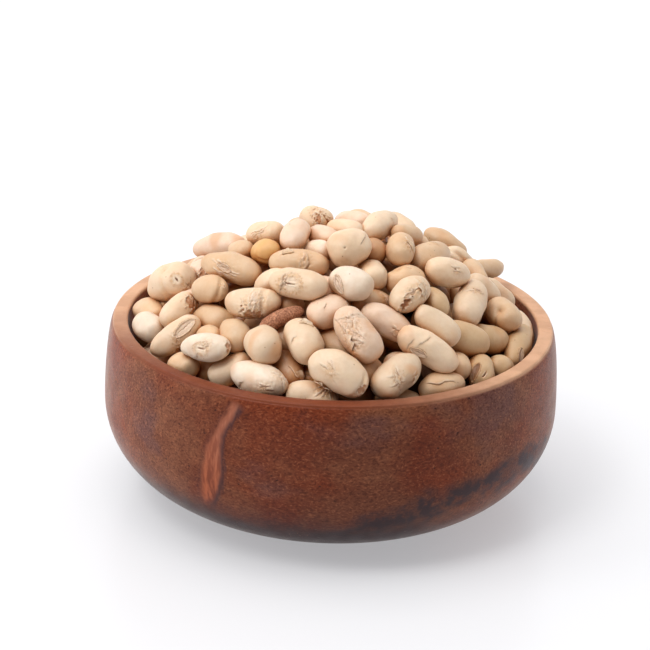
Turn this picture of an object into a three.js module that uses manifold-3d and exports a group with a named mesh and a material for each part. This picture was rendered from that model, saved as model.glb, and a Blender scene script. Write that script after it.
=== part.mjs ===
// A small turned wooden bowl heaped with roasted soybeans.
//
// Millimetres, +Z up. The origin is the middle of the bowl's flat foot. The near side, which the
// photograph shows, faces -Y. The bowl is one turned solid. The heap is one solid too: a plain
// core with the beans that show fused onto it.

import * as THREE from "three";
import { mergeVertices } from "three/addons/utils/BufferGeometryUtils.js";
import Module from "manifold-3d";

const wasm = await Module();
wasm.setup();

// ---------------------------------------------------------------- driving dimensions

const BOWL_RADIUS = 50; // at the belly
const BOWL_HEIGHT = 39.2;
const BELLY_HEIGHT = 21.5;
const FOOT_RADIUS = 24; // of the flat that the bowl stands on
const RIM_RADIUS = 48.2; // outer edge of the rim
const MOUTH_RADIUS = 44.9; // inner edge of the rim
const RIM_ROUNDING = 0.6;
const FLOOR_THICKNESS = 6.5;
const INNER_FLAT_RADIUS = 16; // where the inner floor starts to curve up
const HOLLOW_RADIUS = 45.2; // widest point of the hollow
const HOLLOW_WIDEST_HEIGHT = 27.5;
const BELLY_BULGE = 2.05; // superellipse exponents of the three curves: 2 is a true ellipse
const NECK_BULGE = 1.7;
const HOLLOW_BULGE = 2.2;

const FIT_GAP = 0.35; // between the bowl and the core
const WALL_GAP = 0.6; // between the bowl and a bean
const CORE_TOP = 55; // highest point of the plain core
const CORE_EDGE_RADIUS = 42.5;
const CORE_EDGE_HEIGHT = 32;
const STALK_DEPTH = 15; // how far below the middle of its bean a stalk ends, inside the core
const STALK_TOP_WIDTH = 0.4; // of the bean's width
const STALK_FOOT_WIDTH = 0.8;

const CREST_HEIGHT = 60.8; // of the middle of a bean on the very top
const EDGE_RADIUS = 41; // of the outermost ring of beans
const EDGE_HEIGHT = 39.5; // of the middle of a bean in that ring
const BEAN_LENGTH = 12.6; // a typical bean
const BEAN_WIDTH = 7.8;
const BEAN_FLATNESS = 0.93; // thickness over width
const SIZE_SPREAD = 0.12;
const LONGEST_BEAN = 15;
const SHORTEST_BEAN = 9.6;
const NARROWEST_BEAN = 6.4;
const BEAN_SPACING = 7.6; // between the middles of neighbours where the far side is filled
const HEIGHT_SPREAD = 2; // of the beans that fill the far side
const TILT_SPREAD = 0.9; // rise over run of their long axes
const FILL_PLACES = 700; // tried on the whole dome
const FILL_DROPS = [0, 2, 4, 6]; // below the dome, the first that hides the bean
const SEED = 11;

// Facets.
const BOWL_SIDES = 56;
const BELLY_STEPS = 8;
const NECK_STEPS = 4;
const HOLLOW_STEPS = 6;
const CORE_SIDES = 24;
const CORE_STEPS = 5;
const BEAN_SIDES = 8;
const BEAN_RINGS = 4;
const STALK_SIDES = 3;
const SAME_POINT = 1e-4; // corners nearer than this are one

// The photograph's viewpoint, which places the beans that it shows. Lengths are in millimetres,
// angles in degrees. The image is VIEW.frame pixels square.
const VIEW = {
  distance: 492,
  aimHeight: 22.5,
  elevation: 23.4,
  yaw: -0.22,
  pitch: 21.8,
  roll: 2,
  focalPixels: 2210,
  frame: 650,
};

// The beans that the photograph shows, by where they lie. Each is the middle of what shows
// (pixels right and down), its length and width (pixels), and the turn of its long axis
// (degrees, counter-clockwise from level). A sixth number is how far behind the dome the bean
// lies (mm), and its width is then the bean's own, where otherwise it is what shows of it.
const SEEN_BEANS = {
  backLeft: [
    [219, 249, 54, 31, 5], [241, 252, 30, 20, 10], [172, 283, 50, 38, 25, -4], [180, 311, 42, 30, 50],
    [211, 290, 37, 30, -5], [149, 312, 34, 28, -30], [148, 328, 34, 31, -50], [212, 321, 44, 34, -20, 4],
    [209, 336, 30, 26, 0, 4], [232, 335, 38, 29, -65], [201, 268, 28, 24, 60, 6],
  ],
  frontLeft: [
    [177, 337, 60, 29, 37], [206, 348, 50, 28, -3], [184, 367, 34, 28, 10], [209, 369, 26, 22, 0],
    [229, 370, 48, 27, 28], [258, 379, 60, 36, -17], [264, 346, 42, 37, -58], [303, 343, 49, 36, -62],
    [281, 319, 50, 19, 25, 0], [290, 370, 40, 26, -60], [313, 396, 54, 36, -5], [338, 376, 66, 42, -33],
    [308, 377, 20, 16, 0], [337, 343, 42, 28, -35], [328, 313, 44, 36, 22], [287, 304, 28, 20, 0],
  ],
  frontRight: [
    [357, 334, 62, 38, -57], [389, 322, 60, 31, -30], [437, 325, 52, 31, -37], [428, 351, 68, 34, -32],
    [397, 378, 56, 38, 40], [442, 385, 49, 25, 8], [456, 366, 28, 22, -50], [370, 371, 30, 24, 20],
    [399, 367, 26, 20, 0], [465, 341, 52, 37, -18, 1], [491, 340, 44, 31, -12, 5],
    [503, 315, 38, 34, -50], [519, 345, 44, 28, 68, 0], [520, 330, 42, 28, -70, 5],
    [481, 371, 36, 27, 85], [501, 368, 28, 24, 0],
  ],
  backRight: [
    [470, 302, 47, 34, 72], [483, 291, 42, 28, -42, 4], [497, 294, 42, 24, -40, 5],
    [486, 267, 34, 20, 3, 7], [475, 273, 32, 24, -45, -1], [461, 261, 36, 28, -35, 1],
    [445, 245, 50, 29, -29, 4], [430, 259, 44, 34, 25, 1], [447, 273, 46, 32, -15],
    [434, 302, 34, 30, -60],
  ],
  middle: [
    [231, 268, 62, 33, -14], [266, 252, 27, 26, 0], [266, 234, 38, 28, 10], [296, 237, 35, 31, 60],
    [321, 248, 30, 26, 0, 4], [298, 264, 60, 29, -4], [299, 285, 60, 33, -8], [274, 284, 40, 26, 15],
    [254, 303, 57, 33, 2], [317, 219, 34, 27, -10, 0], [322, 238, 32, 26, -20, 3],
    [399, 250, 33, 30, 80], [417, 244, 30, 26, -50, 6], [380, 227, 38, 30, 35, 0],
    [400, 228, 38, 28, -25, 6], [405, 236, 32, 26, -10, 4], [353, 222, 38, 26, -8, 4],
    [344, 231, 40, 28, -12, 1], [348, 248, 44, 40, 20], [374, 252, 30, 24, -70], [374, 275, 34, 31, -60, 3],
    [403, 280, 42, 32, 3], [409, 295, 46, 34, 42], [351, 284, 44, 34, -22], [372, 301, 40, 22, -10],
  ],
};

const WOOD = { color: 0x7a4331, roughness: 0.42, metalness: 0 };
const ROASTED_BEAN = { color: 0xe0c49c, roughness: 0.6, metalness: 0 };

// ---------------------------------------------------------------- small helpers

const radians = THREE.MathUtils.degToRad;

// A repeatable stream of numbers from 0 to 1.
function randomStream(seed) {
  let state = seed;
  return () => {
    state = (state * 16807) % 2147483647;
    return state / 2147483647;
  };
}

// A closed geometry as a solid that can be joined and cut.
function toSolid(geometry) {
  const bare = geometry.clone();
  bare.deleteAttribute("normal");
  bare.deleteAttribute("uv");
  const merged = mergeVertices(bare, SAME_POINT);
  const vertProperties = new Float32Array(merged.attributes.position.array);
  const triVerts = new Uint32Array(merged.index.array);
  return new wasm.Manifold(new wasm.Mesh({ numProp: 3, vertProperties, triVerts }));
}

function toGeometry(solid) {
  const { vertProperties, triVerts } = solid.getMesh();
  const geometry = new THREE.BufferGeometry();
  geometry.setAttribute("position", new THREE.BufferAttribute(vertProperties, 3));
  geometry.setIndex(new THREE.BufferAttribute(triVerts, 1));
  geometry.computeVertexNormals();
  return geometry;
}

// A profile of [radius, height] points turned round +Z. It runs from the axis at the bottom,
// round the outside, to the axis at the top.
function turned(profile, sides) {
  const points = profile.map(([radius, height]) => new THREE.Vector2(radius, height));
  return new THREE.LatheGeometry(points, sides).rotateX(Math.PI / 2);
}

// A quarter of a superellipse from one [radius, height] to another, upright at the second where
// uprightAtEnd is true and at the first where it is false.
function sweep(from, to, bulge, steps, uprightAtEnd) {
  const points = [];
  for (let step = 1; step <= steps; step += 1) {
    const angle = (Math.PI / 2) * (step / steps);
    const along = Math.sin(angle) ** (2 / bulge);
    const rest = 1 - Math.cos(angle) ** (2 / bulge);
    const [acrossShare, upShare] = uprightAtEnd ? [along, rest] : [rest, along];
    points.push([from[0] + (to[0] - from[0]) * acrossShare, from[1] + (to[1] - from[1]) * upShare]);
  }
  return points;
}

// ---------------------------------------------------------------- the bowl

// The inside of the bowl, from the middle of its floor up to the rim's inner edge.
function hollowProfile(gap = 0) {
  const floorHeight = FLOOR_THICKNESS + gap;
  const flat = [INNER_FLAT_RADIUS, floorHeight];
  const widest = [HOLLOW_RADIUS - gap, HOLLOW_WIDEST_HEIGHT];
  return [[0, floorHeight], flat, ...sweep(flat, widest, HOLLOW_BULGE, HOLLOW_STEPS, true)];
}

function bowlGeometry() {
  const foot = [FOOT_RADIUS, 0];
  const belly = [BOWL_RADIUS, BELLY_HEIGHT];
  const rimFoot = [RIM_RADIUS, BOWL_HEIGHT - RIM_ROUNDING];
  const outside = [[0, 0], foot, ...sweep(foot, belly, BELLY_BULGE, BELLY_STEPS, true)];
  const neck = sweep(belly, rimFoot, NECK_BULGE, NECK_STEPS, false);
  const rim = [
    [RIM_RADIUS - RIM_ROUNDING, BOWL_HEIGHT],
    [MOUTH_RADIUS + RIM_ROUNDING, BOWL_HEIGHT],
    [MOUTH_RADIUS, BOWL_HEIGHT - RIM_ROUNDING],
  ];
  return turned([...outside, ...neck, ...rim, ...hollowProfile().reverse()], BOWL_SIDES);
}

// ---------------------------------------------------------------- where the beans lie

// The middles of the beans lie on a dome: height = CREST_HEIGHT - DOME_FALL * radius².
const DOME_FALL = (CREST_HEIGHT - EDGE_HEIGHT) / EDGE_RADIUS ** 2;

function domeHeight(x, y) {
  return CREST_HEIGHT - DOME_FALL * (x * x + y * y);
}

function domeNormal(x, y) {
  return new THREE.Vector3(2 * DOME_FALL * x, 2 * DOME_FALL * y, 1).normalize();
}

// The eye of the photograph, with the directions that lie level and upright in the image.
function viewpoint() {
  const elevation = radians(VIEW.elevation);
  const yaw = radians(VIEW.yaw);
  const pitch = radians(VIEW.pitch);
  const eye = new THREE.Vector3(
    0,
    -VIEW.distance * Math.cos(elevation),
    VIEW.aimHeight + VIEW.distance * Math.sin(elevation),
  );
  const forward = new THREE.Vector3(
    Math.sin(yaw) * Math.cos(pitch),
    Math.cos(yaw) * Math.cos(pitch),
    -Math.sin(pitch),
  );
  const right = new THREE.Vector3().crossVectors(forward, new THREE.Vector3(0, 0, 1)).normalize();
  right.applyAxisAngle(forward, -radians(VIEW.roll));
  const up = new THREE.Vector3().crossVectors(right, forward);
  return { eye, forward, right, up };
}

// Where the line of sight through a pixel meets the dome, or passes nearest above it.
function sightLine(view, u, v) {
  const ray = view.forward.clone();
  ray.addScaledVector(view.right, (u - VIEW.frame / 2) / VIEW.focalPixels);
  ray.addScaledVector(view.up, (VIEW.frame / 2 - v) / VIEW.focalPixels);
  ray.normalize();
  const square = DOME_FALL * (ray.x ** 2 + ray.y ** 2);
  const linear = 2 * DOME_FALL * (view.eye.x * ray.x + view.eye.y * ray.y) + ray.z;
  const constant = DOME_FALL * (view.eye.x ** 2 + view.eye.y ** 2) + view.eye.z - CREST_HEIGHT;
  const inside = Math.max(0, linear ** 2 - 4 * square * constant);
  const distance = (-linear - Math.sqrt(inside)) / (2 * square);
  return { ray, distance };
}

// A bean that shows less than a whole one's width lies deeper among its neighbours.
const DEPTH_PER_HIDDEN_WIDTH = 1.3;

// Where the dome is seen edge on, a bean's slope is worked out as if it faced the eye this much.
const LEAST_FACING = 0.35;
const LEAST_SHOWN_SHARE = 0.02;

// A bean of the photograph, laid on the dome: its half sizes, its long axis and its line of
// sight. It lies along the surface unless the length that shows says that it tips.
function seenBean(view, [u, v, length, width, turn, sink]) {
  const { ray, distance } = sightLine(view, u, v);
  const scale = distance / VIEW.focalPixels;
  const shownHalf = (length / 2) * scale;
  const shownHalfWidth = (width / 2) * scale;
  const isWhole = sink !== undefined;
  const halfWidth = isWhole ? shownHalfWidth : Math.max(shownHalfWidth, NARROWEST_BEAN / 2);
  const hiddenWidth = 2 * (halfWidth - shownHalfWidth);
  const depth = isWhole ? sink : hiddenWidth * DEPTH_PER_HIDDEN_WIDTH;
  const middle = view.eye.clone().addScaledVector(ray, distance + depth);
  const normal = domeNormal(middle.x, middle.y);
  const level = view.right.clone().multiplyScalar(Math.cos(radians(turn)));
  level.addScaledVector(view.up, Math.sin(radians(turn)));
  const towardsEye = ray.clone().negate();
  const lie = Math.atan(-level.dot(normal) / Math.max(towardsEye.dot(normal), LEAST_FACING));
  const across = halfWidth * Math.sin(lie);
  const lying = Math.sqrt(Math.max(shownHalf ** 2 - across ** 2, 0)) / Math.cos(lie);
  const half = THREE.MathUtils.clamp(lying, SHORTEST_BEAN / 2, LONGEST_BEAN / 2);
  const shownShare = (shownHalf ** 2 - halfWidth ** 2) / (half ** 2 - halfWidth ** 2);
  const tipCosine = Math.sqrt(THREE.MathUtils.clamp(shownShare, LEAST_SHOWN_SHARE, 1));
  const tip = Math.sign(lie || 1) * Math.acos(tipCosine);
  const axis = level.multiplyScalar(Math.cos(tip)).addScaledVector(towardsEye, Math.sin(tip));
  return { middle, axis, half, halfWidth, ray, start: middle.clone() };
}

// A bean for a place that the photograph doesn't show.
function plainBean(random, { x, y, z }) {
  const spread = () => 1 + SIZE_SPREAD * (2 * random() - 1);
  const normal = domeNormal(x, y);
  const heading = 2 * Math.PI * random();
  const axis = new THREE.Vector3(Math.cos(heading), Math.sin(heading), 0);
  axis.addScaledVector(normal, -axis.dot(normal)).normalize();
  axis.addScaledVector(normal, TILT_SPREAD * (random() - 0.5)).normalize();
  const middle = new THREE.Vector3(x, y, z + HEIGHT_SPREAD * (random() - 0.5));
  const half = (BEAN_LENGTH / 2) * spread();
  const halfWidth = (BEAN_WIDTH / 2) * spread();
  return { middle, axis, half, halfWidth, ray: null, start: middle.clone() };
}

// Whether the photographed beans hide the upper edge of a bean at that spot.
function isOutOfSight(view, seen, spot) {
  return [-1, 0, 1].every((side) => {
    const corner = spot.clone().addScaledVector(view.up, BEAN_WIDTH / 2);
    corner.addScaledVector(view.right, (side * BEAN_WIDTH) / 2);
    const ray = corner.sub(view.eye);
    const reach = ray.length();
    ray.normalize();
    return seen.some((bean) => {
      const toBean = bean.middle.clone().sub(view.eye);
      const along = toBean.dot(ray);
      const aside = toBean.addScaledVector(ray, -along).length();
      return along < reach && aside < bean.halfWidth;
    });
  });
}

// Places spread evenly over the dome, filled where no bean lies yet and low enough not to show.
function fillBeans(view, seen) {
  const beans = [...seen];
  const random = randomStream(SEED);
  const turnPerPlace = Math.PI * (3 - Math.sqrt(5));
  for (let place = 0; place < FILL_PLACES; place += 1) {
    const radius = EDGE_RADIUS * Math.sqrt((place + 0.5) / FILL_PLACES);
    const x = radius * Math.cos(place * turnPerPlace);
    const y = radius * Math.sin(place * turnPerPlace);
    const spots = FILL_DROPS.map((drop) => new THREE.Vector3(x, y, domeHeight(x, y) - drop));
    const spot = spots.find((candidate) => isOutOfSight(view, seen, candidate));
    if (spot && beans.every((bean) => bean.middle.distanceTo(spot) > BEAN_SPACING)) {
      beans.push(plainBean(random, spot));
    }
  }
  return beans;
}

// ---------------------------------------------------------------- settling the beans

const BALLS_PER_BEAN = 5; // a row of balls inside a bean stands for it
const SETTLING_STEPS = 120;
const PARTING_SHARE = 0.3; // of an overlap, taken by each of two beans in a step
const PULL_ONTO_SIGHT_LINE = 0.25; // share of the stray undone in a step
const PULL_ALONG_SIGHT_LINE = 0.02;
const PULL_TO_PLACE = 0.04; // for a bean that the photograph doesn't show
const LEAST_INWARD = 0.01; // keeps a push off the wall defined at the wall itself

function ballsOf(bean) {
  const reach = (bean.half ** 2 - bean.halfWidth ** 2) / bean.half;
  const balls = [];
  for (let index = 0; index < BALLS_PER_BEAN; index += 1) {
    const offset = reach * ((2 * index) / (BALLS_PER_BEAN - 1) - 1);
    const shrink = 1 - (offset * offset) / (bean.half ** 2 - bean.halfWidth ** 2);
    balls.push({ offset, radius: bean.halfWidth * Math.sqrt(shrink) });
  }
  return balls;
}

// The deepest overlap of two beans, as the shift that would part them.
function overlapShift(first, second) {
  let deepest = 0;
  let shift = null;
  for (const ballA of first.balls) {
    const placeA = first.middle.clone().addScaledVector(first.axis, ballA.offset);
    for (const ballB of second.balls) {
      const apart = second.middle.clone().addScaledVector(second.axis, ballB.offset).sub(placeA);
      const depth = ballA.radius + ballB.radius - apart.length();
      if (depth > deepest) {
        deepest = depth;
        shift = apart.normalize().multiplyScalar(depth);
      }
    }
  }
  return shift;
}

// The shift that brings a bean back inside the bowl, or up onto its rim.
function wallShift(bean) {
  let deepest = 0;
  let shift = new THREE.Vector3();
  for (const ball of bean.balls) {
    const place = bean.middle.clone().addScaledVector(bean.axis, ball.offset);
    const radius = Math.hypot(place.x, place.y);
    const inward = Math.max(LEAST_INWARD, MOUTH_RADIUS - radius);
    const above = Math.max(0, place.z - BOWL_HEIGHT);
    const clear = Math.hypot(inward, above);
    const depth = ball.radius + WALL_GAP - clear;
    if (depth > deepest) {
      deepest = depth;
      const push = (depth * inward) / clear / radius;
      shift = new THREE.Vector3(-push * place.x, -push * place.y, (depth * above) / clear);
    }
  }
  return shift;
}

// Beans that cross are parted step by step. A bean of the photograph is held to its line of
// sight, so that it mostly slides nearer or further, and any other to its place on the dome.
function settle(beans) {
  for (const bean of beans) bean.balls = ballsOf(bean);
  for (let step = 0; step < SETTLING_STEPS; step += 1) {
    const shifts = beans.map(() => new THREE.Vector3());
    for (let a = 0; a < beans.length; a += 1) {
      for (let b = a + 1; b < beans.length; b += 1) {
        if (beans[a].middle.distanceTo(beans[b].middle) < LONGEST_BEAN) {
          const shift = overlapShift(beans[a], beans[b]);
          if (shift) {
            shifts[a].addScaledVector(shift, -PARTING_SHARE);
            shifts[b].addScaledVector(shift, PARTING_SHARE);
          }
        }
      }
    }
    beans.forEach((bean, index) => {
      bean.middle.add(shifts[index]);
      const strayed = bean.middle.clone().sub(bean.start);
      if (bean.ray) {
        const along = strayed.dot(bean.ray);
        strayed.addScaledVector(bean.ray, -along);
        bean.middle.addScaledVector(strayed, -PULL_ONTO_SIGHT_LINE);
        bean.middle.addScaledVector(bean.ray, -PULL_ALONG_SIGHT_LINE * along);
      } else {
        bean.middle.addScaledVector(strayed, -PULL_TO_PLACE);
      }
      bean.middle.add(wallShift(bean));
    });
  }
}

function laidBeans() {
  const view = viewpoint();
  const rows = Object.values(SEEN_BEANS).flat();
  const beans = fillBeans(view, rows.map((row) => seenBean(view, row)));
  settle(beans);
  return beans;
}

// ---------------------------------------------------------------- the heap

function beanGeometry(bean) {
  const shape = new THREE.SphereGeometry(1, BEAN_SIDES, BEAN_RINGS);
  shape.scale(bean.halfWidth, bean.half, bean.halfWidth * BEAN_FLATNESS);
  const long = bean.axis.clone();
  const normal = domeNormal(bean.middle.x, bean.middle.y);
  const side = new THREE.Vector3().crossVectors(long, normal).normalize();
  const thick = new THREE.Vector3().crossVectors(side, long);
  shape.applyMatrix4(new THREE.Matrix4().makeBasis(side, long, thick).setPosition(bean.middle));
  return shape;
}

// A stalk under a bean, out of sight, that ties it to the core.
function stalkGeometry(bean) {
  const inward = domeNormal(bean.middle.x, bean.middle.y).negate();
  const topRadius = STALK_TOP_WIDTH * bean.halfWidth;
  const footRadius = STALK_FOOT_WIDTH * bean.halfWidth;
  const stalk = new THREE.CylinderGeometry(topRadius, footRadius, STALK_DEPTH, STALK_SIDES);
  stalk.translate(0, -STALK_DEPTH / 2, 0);
  const turn = new THREE.Quaternion().setFromUnitVectors(new THREE.Vector3(0, -1, 0), inward);
  stalk.applyQuaternion(turn);
  return stalk.translate(...bean.middle);
}

// The plain core fills the bowl and rises to a dome under the beans.
function coreGeometry() {
  const crown = [];
  for (let step = 0; step < CORE_STEPS; step += 1) {
    const radius = CORE_EDGE_RADIUS * (1 - step / CORE_STEPS);
    const share = (radius / CORE_EDGE_RADIUS) ** 2;
    crown.push([radius, CORE_TOP - (CORE_TOP - CORE_EDGE_HEIGHT) * share]);
  }
  crown.push([0, CORE_TOP]);
  return turned([...hollowProfile(FIT_GAP), ...crown], CORE_SIDES);
}

// Joined, the heap is its largest body alone: a space that the beans close off comes out of
// decompose as a body of its own, and leaving it out fills it.
function heapGeometry() {
  const beans = laidBeans();
  const pieces = [coreGeometry(), ...beans.map(beanGeometry), ...beans.map(stalkGeometry)];
  const joined = wasm.Manifold.union(pieces.map(toSolid));
  const bodies = joined.decompose().sort((a, b) => b.volume() - a.volume());
  return toGeometry(bodies[0]);
}

// ---------------------------------------------------------------- the whole

function part(name, geometry, look) {
  const mesh = new THREE.Mesh(geometry, new THREE.MeshStandardMaterial(look));
  mesh.name = name;
  return mesh;
}

const bowlOfSoybeans = new THREE.Group();
bowlOfSoybeans.add(part("bowl", bowlGeometry(), WOOD));
bowlOfSoybeans.add(part("heap", heapGeometry(), ROASTED_BEAN));

export default bowlOfSoybeans;
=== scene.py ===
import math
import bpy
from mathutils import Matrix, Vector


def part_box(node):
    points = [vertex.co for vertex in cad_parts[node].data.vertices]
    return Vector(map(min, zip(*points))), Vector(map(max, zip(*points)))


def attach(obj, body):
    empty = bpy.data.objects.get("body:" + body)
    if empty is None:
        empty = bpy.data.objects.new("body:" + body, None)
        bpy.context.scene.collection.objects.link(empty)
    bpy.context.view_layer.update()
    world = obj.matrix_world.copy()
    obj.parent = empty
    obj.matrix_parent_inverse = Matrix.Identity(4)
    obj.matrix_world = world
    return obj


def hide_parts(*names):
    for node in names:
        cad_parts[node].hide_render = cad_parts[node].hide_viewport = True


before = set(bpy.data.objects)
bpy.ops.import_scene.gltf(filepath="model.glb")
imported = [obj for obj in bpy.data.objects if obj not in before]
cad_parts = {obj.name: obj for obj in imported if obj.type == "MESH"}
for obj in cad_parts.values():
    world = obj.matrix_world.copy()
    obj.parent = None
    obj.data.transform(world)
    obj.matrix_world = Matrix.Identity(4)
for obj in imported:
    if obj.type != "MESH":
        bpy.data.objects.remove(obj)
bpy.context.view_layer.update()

# A small turned wooden bowl heaped with roasted soybeans: the looks of both, over the packed
# solids. This file's own lengths are in millimetres, and meshes are made in metres.

from types import SimpleNamespace

import bpy
import numpy as np
from mathutils import Matrix, Vector

MM = 0.001

# ---------------------------------------------------------------- sizes

_, BOWL_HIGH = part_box("bowl")
BOWL_RADIUS = BOWL_HIGH.x / MM
BOWL_HEIGHT = BOWL_HIGH.z / MM
BELLY_HEIGHT = 21.5
FOOT_RADIUS = 24.0
RIM_RADIUS = 48.2
MOUTH_RADIUS = 44.9
RIM_ROUNDING = 0.6
FLOOR_THICKNESS = 6.5
INNER_FLAT_RADIUS = 16.0
HOLLOW_RADIUS = 45.2
HOLLOW_WIDEST_HEIGHT = 27.5
BELLY_BULGE = 2.05  # superellipse exponents of the bowl's three curves
NECK_BULGE = 1.7
HOLLOW_BULGE = 2.2
FOOT_BAND = 0.8  # a narrow last band of the foot keeps its edge crisp under smooth shading
CURVE_STEPS = {"belly": 40, "neck": 24, "hollow": 20, "rim": 5}
BOWL_SIDES = 240

WALL_GAP = 0.6  # between the bowl and a bean
CREST_HEIGHT = 60.8  # of the middle of a bean on the very top
EDGE_RADIUS = 41.0  # of the outermost ring of beans
EDGE_HEIGHT = 39.5  # of the middle of a bean in that ring
BEAN_LENGTH = 12.6
BEAN_WIDTH = 7.8
BEAN_FLATNESS = 0.93
SIZE_SPREAD = 0.12
LONGEST_BEAN = 15.0
SHORTEST_BEAN = 9.6
NARROWEST_BEAN = 6.4
BEAN_SPACING = 7.6
HEIGHT_SPREAD = 2.0
TILT_SPREAD = 0.9
FILL_PLACES = 700
FILL_DROPS = (0, 2, 4, 6)
SEED = 11

# The photograph's viewpoint: lengths in millimetres, angles in degrees, and an image that is
# FRAME_PIXELS square.
VIEW = {
    "distance": 492.0,
    "aim_height": 22.5,
    "elevation": 23.4,
    "yaw": -0.22,
    "pitch": 21.8,
    "roll": 2.0,
    "focal_pixels": 2210.0,
}
FRAME_PIXELS = 650
SENSOR_WIDTH = 36.0

# The beans that the photograph shows: the middle of what shows (pixels right and down), length
# and width (pixels), the turn of the long axis (degrees, counter-clockwise from level), how far
# behind the dome the bean lies (mm), and its tone. The width is the bean's own where that depth
# is given, and otherwise what shows of it.
SEEN_BEANS = {
    "back_left": [
        (219, 249, 54, 31, 5, None, "pink"), (241, 252, 30, 20, 10, None, "tan"),
        (172, 283, 50, 38, 25, -4, "cream"), (180, 311, 42, 30, 50, None, "cream"),
        (211, 290, 37, 30, -5, None, "tan"), (149, 312, 34, 28, -30, None, "tan"),
        (148, 328, 34, 31, -50, None, "pale"), (212, 321, 44, 34, -20, 4, "tan"),
        (209, 336, 30, 26, 0, 4, "tan"), (232, 335, 38, 29, -65, None, "tan"),
        (201, 268, 28, 24, 60, 6, "pink"),
    ],
    "front_left": [
        (177, 337, 60, 29, 37, None, "cream"), (206, 348, 50, 28, -3, None, "pale"),
        (184, 367, 34, 28, 10, None, "tan"), (209, 369, 26, 22, 0, None, "tan"),
        (229, 370, 48, 27, 28, None, "cream"), (258, 379, 60, 36, -17, None, "pale"),
        (264, 346, 42, 37, -58, None, "cream"), (303, 343, 49, 36, -62, None, "cream"),
        (281, 319, 50, 19, 25, 0, "brown"), (290, 370, 40, 26, -60, None, "dark"),
        (313, 396, 54, 36, -5, None, "cream"), (338, 376, 66, 42, -33, None, "cream"),
        (308, 377, 20, 16, 0, None, "gold"), (337, 343, 42, 28, -35, None, "tan"),
        (328, 313, 44, 36, 22, None, "pink"), (287, 304, 28, 20, 0, None, "tan"),
    ],
    "front_right": [
        (357, 334, 62, 38, -57, None, "pink"), (389, 322, 60, 31, -30, None, "pink"),
        (437, 325, 52, 31, -37, None, "cream"), (428, 351, 68, 34, -32, None, "cream"),
        (397, 378, 56, 38, 40, None, "cream"), (442, 385, 49, 25, 8, None, "tan"),
        (456, 366, 28, 22, -50, None, "tan"), (370, 371, 30, 24, 20, None, "tan"),
        (399, 367, 26, 20, 0, None, "pink"), (465, 341, 52, 37, -18, 1, "olive"),
        (491, 340, 44, 31, -12, 5, "olive"), (503, 315, 38, 34, -50, None, "tan"),
        (519, 345, 44, 28, 68, 0, "olive"), (520, 330, 42, 28, -70, 5, "cream"),
        (481, 371, 36, 27, 85, None, "olive"), (501, 368, 28, 24, 0, None, "olive"),
    ],
    "back_right": [
        (470, 302, 47, 34, 72, None, "cream"), (483, 291, 42, 28, -42, 4, "cream"),
        (497, 294, 42, 24, -40, 5, "cream"), (486, 267, 34, 20, 3, 7, "tan"),
        (475, 273, 32, 24, -45, -1, "tan"), (461, 261, 36, 28, -35, 1, "cream"),
        (445, 245, 50, 29, -29, 4, "tan"), (430, 259, 44, 34, 25, 1, "tan"),
        (447, 273, 46, 32, -15, None, "cream"), (434, 302, 34, 30, -60, None, "olive"),
    ],
    "middle": [
        (231, 268, 62, 33, -14, None, "tan"), (266, 252, 27, 26, 0, None, "gold"),
        (266, 234, 38, 28, 10, None, "cream"), (296, 237, 35, 31, 60, None, "pink"),
        (321, 248, 30, 26, 0, 4, "pale"), (298, 264, 60, 29, -4, None, "tan"),
        (299, 285, 60, 33, -8, None, "cream"), (274, 284, 40, 26, 15, None, "cream"),
        (254, 303, 57, 33, 2, None, "cream"), (317, 219, 34, 27, -10, 0, "cream"),
        (322, 238, 32, 26, -20, 3, "pink"), (399, 250, 33, 30, 80, None, "tan"),
        (417, 244, 30, 26, -50, 6, "tan"), (380, 227, 38, 30, 35, 0, "cream"),
        (400, 228, 38, 28, -25, 6, "cream"), (405, 236, 32, 26, -10, 4, "tan"),
        (353, 222, 38, 26, -8, 4, "pink"), (344, 231, 40, 28, -12, 1, "cream"),
        (348, 248, 44, 40, 20, None, "cream"), (374, 252, 30, 24, -70, None, "dark"),
        (374, 275, 34, 31, -60, 3, "cream"), (403, 280, 42, 32, 3, None, "tan"),
        (409, 295, 46, 34, 42, None, "cream"), (351, 284, 44, 34, -22, None, "pale"),
        (372, 301, 40, 22, -10, None, "tan"),
    ],
}

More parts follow.
